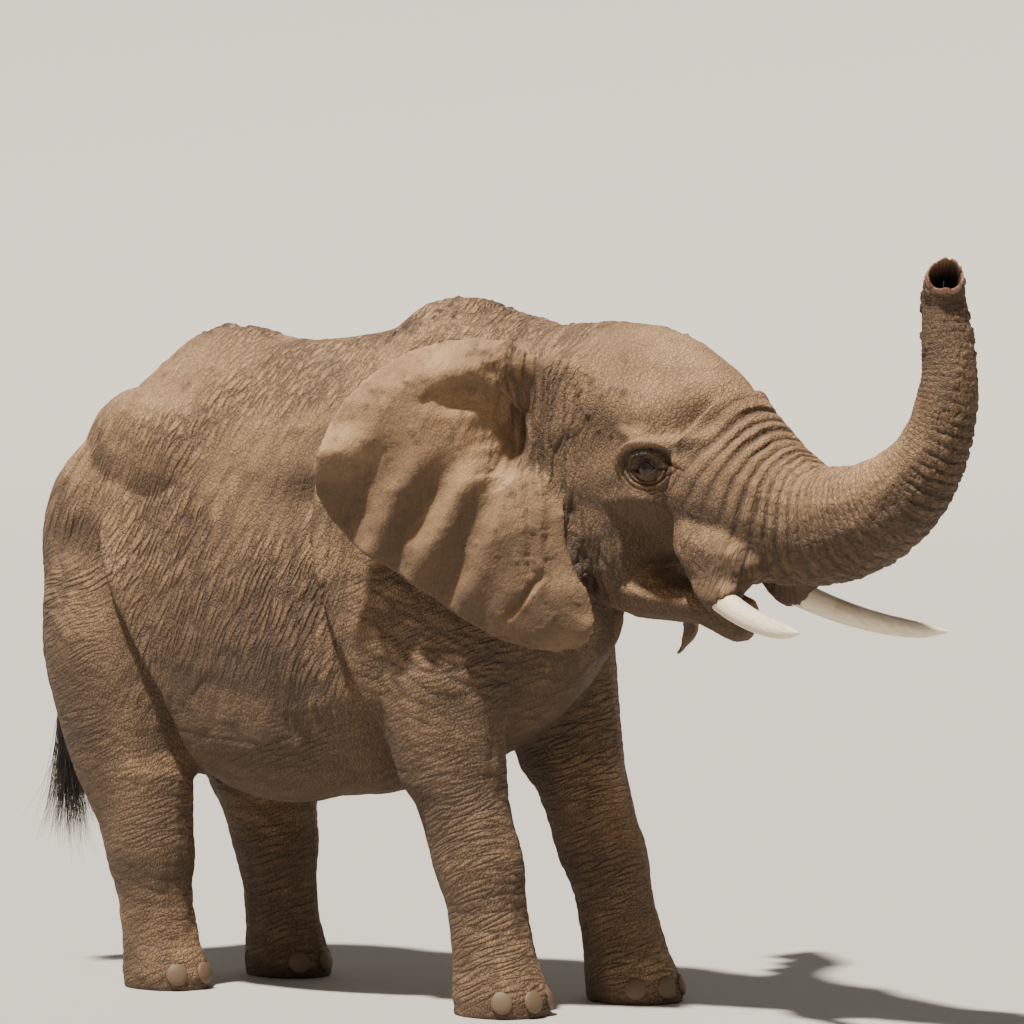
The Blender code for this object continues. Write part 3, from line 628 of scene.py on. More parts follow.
def openNostrils(points):
    # the trunk ends in a rim with a finger above and below, and two nostrils deep inside it
    tip, before = fromHead(trunkLine[-1:])[0], fromHead(trunkLine[-2:-1])[0]
    ahead = unit(tip - before)
    side = unit(np.cross(ahead, (0, 0, 1)))
    above = np.cross(side, ahead)
    local = points - tip
    a, b, c = local @ side, local @ above, local @ ahead
    away = np.hypot(a, b)
    front = ramp(c, -0.045, -0.020)
    hole = ramp(away, 0.0535, 0.0455) * front
    wall = hump(a, 0.0, 0.006) * ramp(away, 0.045, 0.035)
    rim = hump(away, 0.060, 0.0065) * front
    fingers = hump(a, 0.0, 0.018) * (hump(b, -0.056, 0.010) + 0.7 * hump(b, 0.056, 0.010)) * front
    depth = 0.095 - 0.045 * wall
    moved = points + ahead * (0.006 * rim + 0.016 * fingers - depth * hole)[:, None]
    inward = (a[:, None] * side + b[:, None] * above) * (-0.22 * hole)[:, None]
    # the nostrils' insides are painted near black through the wet colour: painted shade, as well as wet skin
    return moved + inward, np.sqrt(hole), np.maximum(rim, fingers) * (1 - hole) ** 2


def addBall(place, radius, segments, rings):
    # a ball at a place given in the head's directions
    place = fromHead([place])[0]
    bpy.ops.mesh.primitive_uv_sphere_add(segments=segments, ring_count=rings, radius=radius, location=place)
    return bpy.context.active_object


def makeSkin():
    body = copyNodes(fleshNodes + ["eye_left", "eye_right", "ear_left", "ear_right"], "skinWhole")
    applied(body, "DISPLACE", strength=skin["inflate"], mid_level=0.0)
    plugs = []
    for word, side in sides.items():
        ahead, aside, height = skin["socket"]
        plugs.append(addBall((ahead, aside * side, height), skin["socketRadius"], 24, 12))
        for ahead, aside, height in skin["earFill"]:
            aside += ear["out"][word] - ear["out"]["Right"]
            plugs.append(addBall((ahead, aside * side, height), skin["earFillRadius"], 16, 10))
    deselectAll()
    for piece in plugs:
        piece.select_set(True)
    body.select_set(True)
    bpy.context.view_layer.objects.active = body
    bpy.ops.object.join()
    applied(body, "REMESH", mode="VOXEL", voxel_size=skin["voxel"])
    body = largestIsland(body)
    print("skin joined", len(body.data.vertices))
    points = pointsOf(body.data)
    flesh, onEar, cupped = nodeTree(fleshNodes), {}, {}
    # how much of each point is the ear's flap alone, and how much is pressed in with the ear's hollow
    for word in sides:
        low, high = (np.array(corner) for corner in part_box(f"ear_{word.lower()}"))
        inBox = np.flatnonzero(np.all((points > low - 0.02) & (points < high + 0.02), axis=1))
        away = distanceTo(nodeTree([f"ear_{word.lower()}"]), points[inBox], 0.15)
        free = ramp(distanceTo(flesh, points[inBox], 0.08), 0.008, 0.045)
        onEar[word], cupped[word] = np.zeros(len(points)), np.zeros(len(points))
        onEar[word][inBox] = (away < 0.016) * free
        cupped[word][inBox] = ramp(away, 0.13, 0.07)
    earPart = np.maximum(onEar["Right"], onEar["Left"])
    easing = 1 - (1 - skin["earEasing"]) * earPart
    points = relaxed(points, edgesOf(body.data), skin["easing"], easing[:, None])
    f, s, h = toHead(points).T
    atRoot = (ramp(f, 0.12, 0.20) * ramp(f, 0.50, 0.38) * ramp(h, 1.80, 1.95) * ramp(h, 2.36, 2.28)
              * ramp(np.abs(s), 0.14, 0.20))
    setPoints(body.data, relaxedWhere(points, edgesOf(body.data), skin["rootEasing"], atRoot))
    for word in sides:
        store(body.data, "ear" + word, onEar[word])
        store(body.data, "cup" + word, cupped[word])
    # finer on the head, and finer still round the eyes and at the trunk's tip
    subdivideWhere(body, lambda p: (toHead(p)[:, 0] > 0.08) & (p[:, 2] > cut["jawHeight"]))
    eyes = [middleOf("eye_left"), middleOf("eye_right")]
    tip = fromHead(trunkLine[-1:])[0]
    for reach in (0.125, 0.068):
        subdivideWhere(body, lambda p: nearestOf(p, eyes) < reach)
    subdivideWhere(body, lambda p: nearestOf(p, [tip]) < 0.085)
    print("skin", len(body.data.vertices), "points")
    points, normals = pointsOf(body.data), normalsOf(body.data)
    for word in sides:
        onEar[word] = takeBack(body.data, "ear" + word)
        cupped[word] = takeBack(body.data, "cup" + word)
    earPart = np.maximum(onEar["Right"], onEar["Left"])
    print("skin: forms and folds")
    part = bodyParts(points)
    moved = points + normals * (bigForms(points, part) * (1 - earPart))[:, None]
    inHead = toHead(points)
    f, s, h = inHead.T
    atRoot = 0.034 * hump(f, 0.245, 0.085) * ramp(h, 1.84, 2.02) * ramp(h, 2.36, 2.24)
    moved += headAxes[1] * (np.sign(s) * ramp(np.abs(s), 0.15, 0.22) * atRoot)[:, None]
    for word in sides:
        u, v, out = earPlace(inHead, word)
        cup, rest = earForms(u, v)
        moved += out * (cup * cupped[word] + rest * onEar[word])[:, None]
    setPoints(body.data, moved)
    normals = normalsOf(body.data)
    fine = points[earPart > 0.01]
    depth = wrinkles(points, part) * (1 - earPart)
    u = np.where(onEar["Right"] > 0.01, earPlace(inHead, "Right")[0], earPlace(inHead, "Left")[0])
    u = u[earPart > 0.01]
    band = ramp(u, 0.30, 0.14) * ramp(fine[:, 2], 1.80, 1.92)
    onFlap = network(fine, (0.5, 0.3, 0.9), (0.050, 0.026, 0.05), 55) * 0.0010
    onBand = network(fine, (0.05, 0.0, 1.0), (0.20, 0.034, 0.25), 29) * 0.0065
    depth[earPart > 0.01] += (onFlap + onBand * band) * earPart[earPart > 0.01]
    depth *= 0.2 + 0.8 * ramp(nearestOf(points, eyes), 0.07, 0.13)
    moved = moved - normals * (depth + skin["sink"])[:, None]
    muddy = muddiness(points, part, earPart)
    lumpy = grain(points * 24.0, 71) + 0.6 * grain(points * 52.0, 72) + 0.45 * grain(points * 7.0, 73)
    clods = ramp(lumpy, 0.50, 0.78) * muddy
    moved += normals * (clods * 0.009)[:, None]
    # painted shade and dirt: the hide is painted darker the deeper its wrinkles
    shade, wet = np.clip(depth / 0.0065, 0, 1), np.zeros(len(points))
    # painted shadow in the groove behind the ear's free front edge, low on the head
    behind = f - np.interp(h, (1.48, 1.75), (0.355, 0.290))
    behind = hump(behind, 0.0, 0.022) * ramp(h, 1.82, 1.70) * ramp(h, 1.40, 1.50)
    shade = np.maximum(shade, behind * ramp(np.abs(s), 0.12, 0.18) * (1 - earPart))
    # painted light: faces that look up are painted lighter and faces that look down darker; legs low down and
    # the trunk's rise are painted darker, the ears' tops lighter
    upward = ramp(normals[:, 2], -0.30, 0.75)
    lofty = upward * (0.62 + 0.38 * ramp(points[:, 2], 0.7, 1.6))
    lofty *= 1 - 0.55 * ramp(part["run"], 1.15, 1.5) * part["trunk"]
    lofty += 0.28 * earPart * ramp(points[:, 2], 1.75, 2.10)
    for word in sides:
        moved, lidShade, lidWet = openEye(moved, normals, word)
        shade, wet = np.maximum(shade, lidShade), np.maximum(wet, lidWet)
    moved, hole, rim = openNostrils(moved)
    setPoints(body.data, moved)
    values = {
        # wet holds wet dark skin at the eyes, and painted shade deep in the nostrils
        "crease": shade, "wet": np.maximum(wet, hole), "pinkish": rim, "trunkPart": part["trunk"],
        "legPart": np.clip(part["legs"] + part["shoulder"], 0, 1), "thighPart": part["thigh"],
        "headPart": part["head"], "earPart": earPart, "muddy": muddy, "clod": clods,
        "lofty": np.clip(lofty, 0, 1),
    }
    straight = np.column_stack([part["run"], part["around"] * 0.12])
    return body, values, {"straight": straight}, onEar


def muddiness(points, part, earPart):
    # mud dries on temple, back and ears
    x, y, z = toBody(points).T
    f, s, h = toHead(points).T
    temple = hump(f, 0.45, 0.15) * hump(h, 2.09, 0.14) * part["head"]
    ridge = ramp(z, 2.16, 2.32) * (1 - part["head"]) * (1 - earPart)
    rump = 0.6 * hump(x, -0.75, 0.3) * ramp(z, 1.95, 2.15)
    return np.clip(temple + 0.8 * np.maximum(ridge, rump) + 0.35 * earPart, 0, 1)


def splitSkin(body, values, vectors, pieces):
    # pieces of the whole, with its normals, so that no seam shows between them
    mesh = body.data
    mesh.calc_loop_triangles()
    faces = np.empty(len(mesh.loop_triangles) * 3, np.int32)
    mesh.loop_triangles.foreach_get("vertices", faces)
    faces = faces.reshape(-1, 3)
    points, normals = pointsOf(mesh), normalsOf(mesh)
    middles = points[faces].mean(axis=1)
    left = np.ones(len(faces), bool)
    made = {}
    for name, wanted in pieces.items():
        picked = left & wanted(middles, faces)
        left &= ~picked
        used, index = np.unique(faces[picked], return_inverse=True)
        count = int(picked.sum())
        part = bpy.data.meshes.new(name)
        part.vertices.add(len(used))
        setPoints(part, points[used])
        part.loops.add(count * 3)
        part.polygons.add(count)
        part.loops.foreach_set("vertex_index", index.ravel().astype(np.int32))
        part.polygons.foreach_set("loop_start", np.arange(0, count * 3, 3, dtype=np.int32))
        part.update(calc_edges=True)
        part.validate()
        part.shade_smooth()
        part.normals_split_custom_set_from_vertices(normals[used])
        for key, numbers in values.items():
            store(part, key, numbers[used])
        for key, numbers in vectors.items():
            layer = part.attributes.new(key, "FLOAT_VECTOR", "POINT")
            layer.data.foreach_set("vector", numbers[used].astype(np.float32).ravel())
        piece = bpy.data.objects.new(name, part)
        bpy.context.scene.collection.objects.link(piece)
        made[name] = piece
        print(name, count, "faces")
    bpy.data.objects.remove(body)
    return made


# hair

def growHair(name, roots, ways, lengths, radius, droop, spots, steps, seed):
    # tapered three-sided hairs that bend down; each has its own small patch of the bake map
    roots, ways = np.asarray(roots), np.asarray(ways)
    count = len(roots)
    chance = np.random.default_rng(seed)
    bendWay = chance.normal(0, 0.25, (count, 3))
    points = np.zeros((count, steps + 1, 3, 3))
    for i in range(steps + 1):
        t = i / steps
        middle = roots + ways * (lengths * t)[:, None] + bendWay * (lengths * t * t)[:, None] * 0.5
        middle[:, 2] -= droop * lengths * t * t
        for k in range(3):
            angle = math.tau * k / 3
            first = np.cross(ways, (0.3, 0.5, 0.81))
            first /= np.linalg.norm(first, axis=1)[:, None]
            second = np.cross(ways, first)
            thick = radius * (1 - 0.85 * t)
            points[:, i, k] = middle + (first * math.cos(angle) + second * math.sin(angle)) * thick
    quads, corners = [], []
    patch = 0.003  # size of a hair's place in the bake map
    for i in range(steps):
        for k in range(3):
            m = (k + 1) % 3
            quads.append((i * 3 + k, i * 3 + m, i * 3 + 3 + m, i * 3 + 3 + k))
            ends = ((k, i), (k + 1, i), (k + 1, i + 1), (k, i + 1))
            corners += [(across / 3, along / steps) for across, along in ends]
    quads = np.array(quads)
    offsets = np.arange(count)[:, None, None] * (steps + 1) * 3
    mesh = bpy.data.meshes.new(name)
    mesh.from_pydata(points.reshape(-1, 3).tolist(), [], (quads[None] + offsets).reshape(-1, 4).tolist())
    mesh.shade_smooth()
    layer = mesh.uv_layers.new(name="OFBake")
    places = np.asarray(spots)[:, None, :] + np.array(corners)[None] * patch
    layer.data.foreach_set("uv", places.astype(np.float32).ravel())
    piece = bpy.data.objects.new(name, mesh)
    bpy.context.scene.collection.objects.link(piece)
    return piece


# finishes

class Value:
    # a socket that takes part in sums with numbers and other sockets
    def __init__(self, finish, socket):
        self.finish, self.socket = finish, socket

    def through(self, kind, settings, inputs):
        return Value(self.finish, self.finish.node(kind, settings, inputs).outputs[0])

    def maths(self, operation, other):
        return self.through("ShaderNodeMath", {"operation": operation}, {0: self, 1: other})

    def __add__(self, other):
        return self.maths("ADD", other)

    def __sub__(self, other):
        return self.maths("SUBTRACT", other)

    def __mul__(self, other):
        return self.maths("MULTIPLY", other)

    def __rsub__(self, other):
        return self.maths("MULTIPLY", -1.0) + other

    __radd__, __rmul__ = __add__, __mul__

    def stepped(self, start, end):
        inputs = {"Value": self, "From Min": start, "From Max": end}
        return self.through("ShaderNodeMapRange", {"interpolation_type": "SMOOTHSTEP"}, inputs)

    def clipped(self):
        return self.through("ShaderNodeClamp", {}, {"Value": self})


class Finish:
    def __init__(self, name):
        self.material = bpy.data.materials.new(name)
        self.material.use_nodes = True
        self.nodes, self.links = self.material.node_tree.nodes, self.material.node_tree.links
        self.shader = self.nodes["Principled BSDF"]
        self.place = self.node("ShaderNodeTexCoord", {}, {}).outputs["Object"]
        self.waves = None

    def node(self, kind, settings, inputs):
        made = self.nodes.new(kind)
        for name, value in settings.items():
            setattr(made, name, value)
        for name, value in inputs.items():
            self.feed(made.inputs[name], value)
        return made

    def feed(self, socket, value):
        value = value.socket if isinstance(value, Value) else value
        if isinstance(value, bpy.types.NodeSocket):
            self.links.new(value, socket)
        elif isinstance(value, tuple) and len(value) == 3 and socket.type == "RGBA":
            socket.default_value = (*value, 1.0)
        else:
            socket.default_value = value

    def set(self, **inputs):
        for name, value in inputs.items():
            self.feed(self.shader.inputs[name.replace("_", " ")], value)

    def attribute(self, name):
        return Value(self, self.node("ShaderNodeAttribute", {"attribute_name": name}, {}).outputs["Fac"])

    def attributeVector(self, name):
        return self.node("ShaderNodeAttribute", {"attribute_name": name}, {}).outputs["Vector"]

    def vectorMaths(self, operation, first, second):
        return self.node("ShaderNodeVectorMath", {"operation": operation}, {0: first, 1: second}).outputs[0]

    def placed(self, scale, tilt, source=None):
        # places moved about in gentle waves that a finish's patterns share; tilt turns them in the side view
        if self.waves is None:
            noise = self.node("ShaderNodeTexNoise", {}, {"Vector": self.place, "Scale": 5.0, "Detail": 1.0})
            self.waves = self.vectorMaths("MULTIPLY", noise.outputs["Color"], (0.05, 0.05, 0.05))
        waved = self.vectorMaths("ADD", self.waves, source or self.place)
        inputs = {"Vector": waved, "Angle": math.radians(tilt)}
        turned = self.node("ShaderNodeVectorRotate", {"rotation_type": "Y_AXIS"}, inputs)
        return self.vectorMaths("MULTIPLY", turned.outputs[0], scale)

    def noise(self, scale, detail=3.0, roughness=0.55, vector=None):
        inputs = {"Vector": vector or self.place, "Scale": scale, "Detail": detail, "Roughness": roughness}
        return Value(self, self.node("ShaderNodeTexNoise", {}, inputs).outputs["Fac"])

    def cells(self, vector, width, scale=1.0):
        # 0 on the lines between cells and 1 inside them
        inputs = {"Vector": vector, "Scale": scale}
        edge = self.node("ShaderNodeTexVoronoi", {"feature": "DISTANCE_TO_EDGE"}, inputs).outputs["Distance"]
        return Value(self, edge).stepped(0.0, width)

    def mixed(self, share, first, second):
        made = self.node("ShaderNodeMix", {"data_type": "RGBA"}, {})
        self.feed(made.inputs["Factor"], share)
        self.feed(made.inputs[6], first)
        self.feed(made.inputs[7], second)
        return made.outputs[2]

    def bump(self, height, strength, distance):
        inputs = {"Strength": strength, "Distance": distance, "Height": height}
        self.set(Normal=self.node("ShaderNodeBump", {}, inputs).outputs[0])


hide = {
    "lit": (0.390, 0.232, 0.116),
    "worn": (0.262, 0.152, 0.074),
    # low is the painted shade colour of the sides and undersides
    "low": (0.094, 0.056, 0.030),
    # crease is the colour of painted shade and dirt in wrinkles and folds, and of painted shadow behind the
    # ears' front edges
    "crease": (0.030, 0.018, 0.011),
    "dust": (0.460, 0.295, 0.155),
    "mud": (0.055, 0.034, 0.021),
    "pink": (0.360, 0.180, 0.125),
    # wet is the colour of wet dark skin at the eyes and of painted shade deep in the nostrils
    "wet": (0.016, 0.009, 0.006),
    "roughness": 0.80,
    "wrinkle": 0.0085,  # depths in metres, here and below
    "fineWrinkle": 0.0022,
    "netDepth": 0.0007,
    "grain": 0.0014,
}


def hideFinish(name, *kinds):
    # "kinds" names the marks that the piece has: "flank", "legs", "trunk", or "net" for the head's small cells
    made = Finish(name)
    crease, wet, muddy = made.attribute("crease"), made.attribute("wet"), made.attribute("muddy")
    trunkPart, earPart, headPart = (made.attribute(key) for key in ("trunkPart", "earPart", "headPart"))
    broad, patches = made.noise(1.7, 2.0), made.noise(6.5, 3.0)
    speckle = made.noise(75.0, 2.0, 0.65)
    net, depth, fine = 1.0, 0.0, 1.0
    if "net" in kinds:
        share = ((headPart + trunkPart - 0.6) * 2.5).clipped()
        net = 1.0 - (1.0 - made.cells(made.place, 0.20, 120.0)) * share
    if "flank" in kinds:
        # drawn out along the same lines as the folds
        broadFold = made.cells(made.placed((44.0, 20.0, 7.0), -22.0), 0.32)
        fine = made.cells(made.placed((90.0, 60.0, 50.0), -14.0), 0.20)
        onBody = (1.0 - trunkPart) * (1.0 - earPart * 0.85) * (1.0 - headPart * 0.60)
        if "legs" in kinds:
            legPart = made.attribute("legPart")
            levelPart = (legPart + made.attribute("thighPart")).clipped()
            level = made.cells(made.placed((8.0, 10.0, 48.0), 22.0), 0.30)
            broadFold = broadFold * (1.0 - levelPart) + level * levelPart
            onBody = onBody * (1.0 - legPart * 0.35)
        uneven = made.noise(2.6, 1.0).stepped(0.34, 0.62) * 0.75 + 0.25
        depth = (1.0 - broadFold) * onBody * uneven
    if "trunk" in kinds:
        ringed = made.cells(made.placed((80.0, 48.0, 48.0), 0.0, made.attributeVector("straight")), 0.18)
        fine = fine * (1.0 - trunkPart) + ringed * trunkPart
    height = ((1.0 - depth) * hide["wrinkle"] + fine * (1.0 - earPart * 0.6) * hide["fineWrinkle"]
              + net * hide["netDepth"] + speckle * hide["grain"])
    made.bump(height, 1.0, 1.0)
    tone = (broad * 1.1 + patches * 0.9 - 0.5).clipped()
    # painted light: the hide is mixed from the painted shade colour low on sides and undersides to the lit
    # tones on top
    lofty = (made.attribute("lofty") + (broad - 0.5) * 0.5).clipped()
    colour = made.mixed(lofty, hide["low"], made.mixed(tone, hide["worn"], hide["lit"]))
    dusty = made.noise(3.4, 4.0, 0.62).stepped(0.47, 0.66) * (lofty * 0.55 + 0.08) * (1.0 - crease * 0.7)
    colour = made.mixed(dusty, colour, hide["dust"])
    # painted shade and dirt along the lines of the wrinkles and the small cells
    lines = (depth * 0.55 * (1.0 - headPart * 0.4) + (1.0 - fine) * 0.34 * (1.0 - earPart * 0.7)
             + (1.0 - net) * 0.12)
    colour = made.mixed(lines.clipped(), colour, hide["crease"])
    # painted shade and dirt in the folds, and painted shadow behind the ears, from the crease attribute
    colour = made.mixed((crease * 0.62).clipped(), colour, hide["crease"])
    spatter = made.noise(30.0, 3.0, 0.65) * 0.6 + made.noise(9.0, 2.0, 0.6) * 0.4
    spots = spatter.stepped(0.60, 0.64)
    crusts = (spatter + muddy * 0.06).stepped(0.57, 0.61) * muddy
    crusts = (crusts * 0.7 + made.attribute("clod")).clipped()
    colour = made.mixed((spots * 0.35 + crusts * 0.8).clipped(), colour, hide["mud"])
    colour = made.mixed(made.attribute("pinkish") * 0.75, colour, hide["pink"])
    colour = made.mixed(wet, colour, hide["wet"])
    made.set(Base_Color=colour, Roughness=(speckle * 0.14 + (hide["roughness"] - 0.07)) - wet * 0.45)
    return made.material


def plainFinish(name, colour, roughness):
    made = Finish(name)
    made.set(Base_Color=colour, Roughness=roughness)
    return made.material


ivory = {"clean": (0.80, 0.70, 0.53), "streak": (0.50, 0.37, 0.21), "stain": (0.42, 0.29, 0.15)}


def ivoryFinish():
    made = Finish("ivory")
    streaks = made.noise(1.0, 4.0, 0.6, made.placed((6.0, 60.0, 60.0), -25.0))
    stain = made.noise(9.0, 4.0, 0.6)
    colour = made.mixed((streaks.stepped(0.42, 0.75) * 0.5).clipped(), ivory["clean"], ivory["streak"])
    colour = made.mixed((stain.stepped(0.50, 0.75) * 0.5).clipped(), colour, ivory["stain"])
    made.bump(streaks, 0.25, 0.0012)
    made.set(Base_Color=colour, Roughness=stain * 0.25 + 0.22)
    return made.material


eyeLook = {
    "irisDark": (0.008, 0.004, 0.002),
    "irisLight": (0.036, 0.018, 0.007),
    "ball": (0.010, 0.006, 0.004),
    "pupil": (0.002, 0.002, 0.002),
    "irisEdge": (0.0220, 0.0245),  # metres from the pupil's middle
    "pupilEdge": (0.0092, 0.0084),
}


def eyeFinish(name, middle, outward):
    # dark iris round a pupil, on a brown ball
    made = Finish(name)
    front = tuple(float(v) for v in middle + outward * eye["radius"])
    distance = made.node("ShaderNodeVectorMath", {"operation": "DISTANCE"}, {0: made.place, 1: front})
    away = Value(made, distance.outputs["Value"])
    streaks = made.noise(260.0, 2.0)
    share = (streaks * 0.6 + away.stepped(0.010, 0.024) * 0.4).clipped()
    iris = made.mixed(share, eyeLook["irisDark"], eyeLook["irisLight"])
    colour = made.mixed(away.stepped(*eyeLook["irisEdge"]), iris, eyeLook["ball"])
    colour = made.mixed(away.stepped(*eyeLook["pupilEdge"]), colour, eyeLook["pupil"])
    made.set(Base_Color=colour, Roughness=0.08, Coat_Weight=0.15, Specular_IOR_Level=0.35)
    return made.material


# assembly

print("skin: joining nodes")
wholeSkin, skinValues, skinVectors, onEar = makeSkin()


def onHead(p, start=cut["headStart"]):
    return (toHead(p)[:, 0] > start) & (p[:, 2] > cut["jawHeight"])


# each piece takes the faces that those before it have left
skinPieces = splitSkin(wholeSkin, skinValues, skinVectors, {
    "earRight": lambda p, faces: onEar["Right"][faces].min(axis=1) > 0.5,
    "earLeft": lambda p, faces: onEar["Left"][faces].min(axis=1) > 0.5,
    "trunkRise": lambda p, faces: onHead(p, cut["trunkStart"]),
    "faceLeft": lambda p, faces: onHead(p, cut["faceStart"]) & (toHead(p)[:, 1] >= 0),
    "faceRight": lambda p, faces: onHead(p, cut["faceStart"]),
    "headLeft": lambda p, faces: onHead(p) & (toHead(p)[:, 1] >= 0),
    "headRight": lambda p, faces: onHead(p),
    "frontLeft": lambda p, faces: (p[:, 1] >= stand[1]) & (p[:, 0] > cut["rearEnd"]),
    "frontRight": lambda p, faces: p[:, 0] > cut["rearEnd"],
    "rearLeft": lambda p, faces: p[:, 1] >= stand[1],
    "rearRight": lambda p, faces: np.ones(len(p), bool),
})
bodyHide, headHide = hideFinish("hideBody", "flank", "legs"), hideFinish("hideHead", "flank", "net")
faceHide, trunkHide = hideFinish("hideFace", "flank", "net", "trunk"), hideFinish("hideTrunk", "net", "trunk")
dress(skinPieces["earRight"], headHide, "ear_hide", "ear_right")
dress(skinPieces["earLeft"], headHide, "ear_hide", "ear_left")
dress(skinPieces["trunkRise"], trunkHide, "hide", "trunk_rise", "trunk_tip")
dress(skinPieces["faceLeft"], faceHide, "hide", "lower_jaw")
dress(skinPieces["faceRight"], faceHide, "hide", "trunk_bend")
dress(skinPieces["headLeft"], headHide, "hide", "neck")
dress(skinPieces["headRight"], headHide, "hide", "head")
for name, end in (("front", "fore"), ("rear", "hind")):
    for word in sides:
        replaced = [node for node in fleshNodes if node.startswith(end) and node.endswith(word.lower())]
        if name + word == "rearRight":
            replaced.append("torso")
        dress(skinPieces[name + word], bodyHide, "hide", *replaced)

print("eyes and tusks")
ivoryMaterial = ivoryFinish()
for word, side in sides.items():
    node = "eye_" + word.lower()
    middle, looking = middleOf(node), unit(headAxes[1] * side + headAxes[0] * 0.25)
    deselectAll()
    bpy.ops.mesh.primitive_uv_sphere_add(segments=64, ring_count=32, radius=eye["radius"], location=middle)
    ball = bpy.context.active_object
    ball.name = "eyeball" + word
    bpy.ops.object.transform_apply(location=True, rotation=True, scale=True)
    bpy.ops.object.shade_smooth()
    dress(ball, eyeFinish("eyeGloss" + word, middle, looking), "eye", node)
    node = "tusk_" + word.lower()
    tusk = copyNodes([node], "tusk" + word)
    applied(tusk, "SUBSURF", levels=3, render_levels=3)
    bpy.ops.object.shade_smooth()
    dress(tusk, ivoryMaterial, "ivory", node)

print("lashes")
hairMaterial = plainFinish("hair", (0.020, 0.015, 0.012), 0.55)
lashes = {"count": 44, "length": 0.045, "radius": 0.0005, "droop": 0.35}
for word in sides:
    middle, outward, forward = eyeAxes(word)
    lidAxes = np.array([forward, (0.0, 0.0, 1.0), outward])
    share = np.linspace(-0.92, 0.92, lashes["count"])
    a = eye["width"] * share
    b = eye["above"] * (1 - share**2) ** 0.8 + 0.10 * a + 0.001
    c = np.sqrt((eye["radius"] + 0.003) ** 2 - a**2 - b**2)
    aside = np.stack([a, b, c], axis=1) @ lidAxes
    ways = np.stack([share * 0.35, np.full(len(share), -0.18), np.full(len(share), 1.0)], axis=1) @ lidAxes
    ways /= np.linalg.norm(ways, axis=1)[:, None]
    uneven = 0.85 + 0.3 * scatter(np.arange(len(share))[:, None] + (0, 1, 2), 81)
    lengths = lashes["length"] * (0.65 + 0.35 * np.cos(share * 1.4)) * uneven
    spots = np.stack([0.1 + 0.018 * np.arange(len(share)), np.full(len(share), 0.5)], axis=1)
    roots, radius, droop = middle + aside, lashes["radius"], lashes["droop"]
    fringe = growHair("lashes" + word, roots, ways, lengths, radius, droop, spots, 5, 82)
    dress(fringe, hairMaterial, "hair")

print("nails")
nailMaterial = plainFinish("nailHorn", (0.120, 0.078, 0.046), 0.65)
for node in [name for name in frame["nodes"] if name.startswith("nail_")]:
    nail = copyNodes([node], "nail" + "".join(word.title() for word in node.split("_")[1:]))
    applied(nail, "SUBSURF", levels=2, render_levels=2)
    bpy.ops.object.shade_smooth()
    dress(nail, nailMaterial, "nail_horn", node)

print("tail")
tailForm = {"voxel": 0.006, "easing": 12, "ringSpacing": 0.020, "ringDepth": 0.0014, "lofty": 0.35}
tail = copyNodes(["tail"], "tailSkin")
applied(tail, "REMESH", mode="VOXEL", voxel_size=tailForm["voxel"])
tailPoints = relaxed(pointsOf(tail.data), edgesOf(tail.data), tailForm["easing"])
setPoints(tail.data, tailPoints)
tailCreases = rings((tailPoints[:, 2] + 0.006 * grain(tailPoints * 25, 61)) / tailForm["ringSpacing"], 0.2)
setPoints(tail.data, tailPoints - normalsOf(tail.data) * (tailCreases * tailForm["ringDepth"])[:, None])
# painted shade and dirt in the tail's ring creases
store(tail.data, "crease", tailCreases * 0.4)
# the tail gets one even share of painted light
store(tail.data, "lofty", np.full(len(tailPoints), tailForm["lofty"]))
bpy.ops.object.shade_smooth()
dress(tail, headHide, "hide", "tail")

hairs = {"count": 620, "longest": 0.34, "shortest": 0.08, "radius": 0.0014, "droop": 0.2}
chance = np.random.default_rng(5)
tailLow, tailHigh = (np.array(corner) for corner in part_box("tail_tuft"))
tailEnd = (tailLow + tailHigh) / 2
tuftTop = tailHigh[2]
lowPart = tailPoints[tailPoints[:, 2] < tuftTop + 0.16]
roots = lowPart[chance.integers(0, len(lowPart), hairs["count"])]
height = roots[:, 2]
alongTail = np.interp(height, [tuftTop, tuftTop + 0.2], [tailEnd[0], tailEnd[0] - 0.01])
aside = roots - np.stack([alongTail, np.full(len(roots), tailEnd[1]), height], axis=1)
ways = aside * 3.0 + (0.12, 0.05, -1.0) + chance.normal(0, 0.05, roots.shape)
ways /= np.linalg.norm(ways, axis=1)[:, None]
lengths = height - tailLow[2] - chance.uniform(-0.01, 0.12, len(roots))
lengths = np.clip(lengths, hairs["shortest"], hairs["longest"])
around = np.arctan2(aside[:, 0], aside[:, 1]) / math.tau + 0.497
spots = np.clip(np.stack([around, 0.05 + (height - tuftTop + 0.02) * 4], axis=1), 0.0, 0.996)
tuft = growHair("tailTuft", roots, ways, lengths, hairs["radius"], hairs["droop"], spots, 6, 6)
dress(tuft, hairMaterial, "hair", "tail_tuft")

# camera, light and floor

view = {"azimuth": 30.0, "distance": 20.0, "height": 2.70, "aside": 0.477, "pitch": 2.912, "lens": 201.8}
floorForm = {
    "size": 140.0,
    "bendStart": 40.0,  # "bendStart": 40.0, # far enough off to stand clear of the camera
    "bendRadius": 20.0,
    "middle": 135.0,  # direction of the wall's middle, in degrees from ahead
    "halfWidth": (110.0, 70.0),  # degrees over which the wall fades in
}
floorLook = {"colour": (0.44, 0.425, 0.395), "roughness": 0.9}
sky = {"colour": (0.95, 0.97, 1.0, 1.0), "strength": 0.17}
sunColour = (1.0, 0.92, 0.81)
suns = (  # name, way to it as towards the camera, to the right and up, energy, width in degrees
    ("key", (0.30, -0.24, 1.0), 9.5, 3.0),
    ("fill", (1.0, 0.4, 0.6), 0.12, 40.0),
)


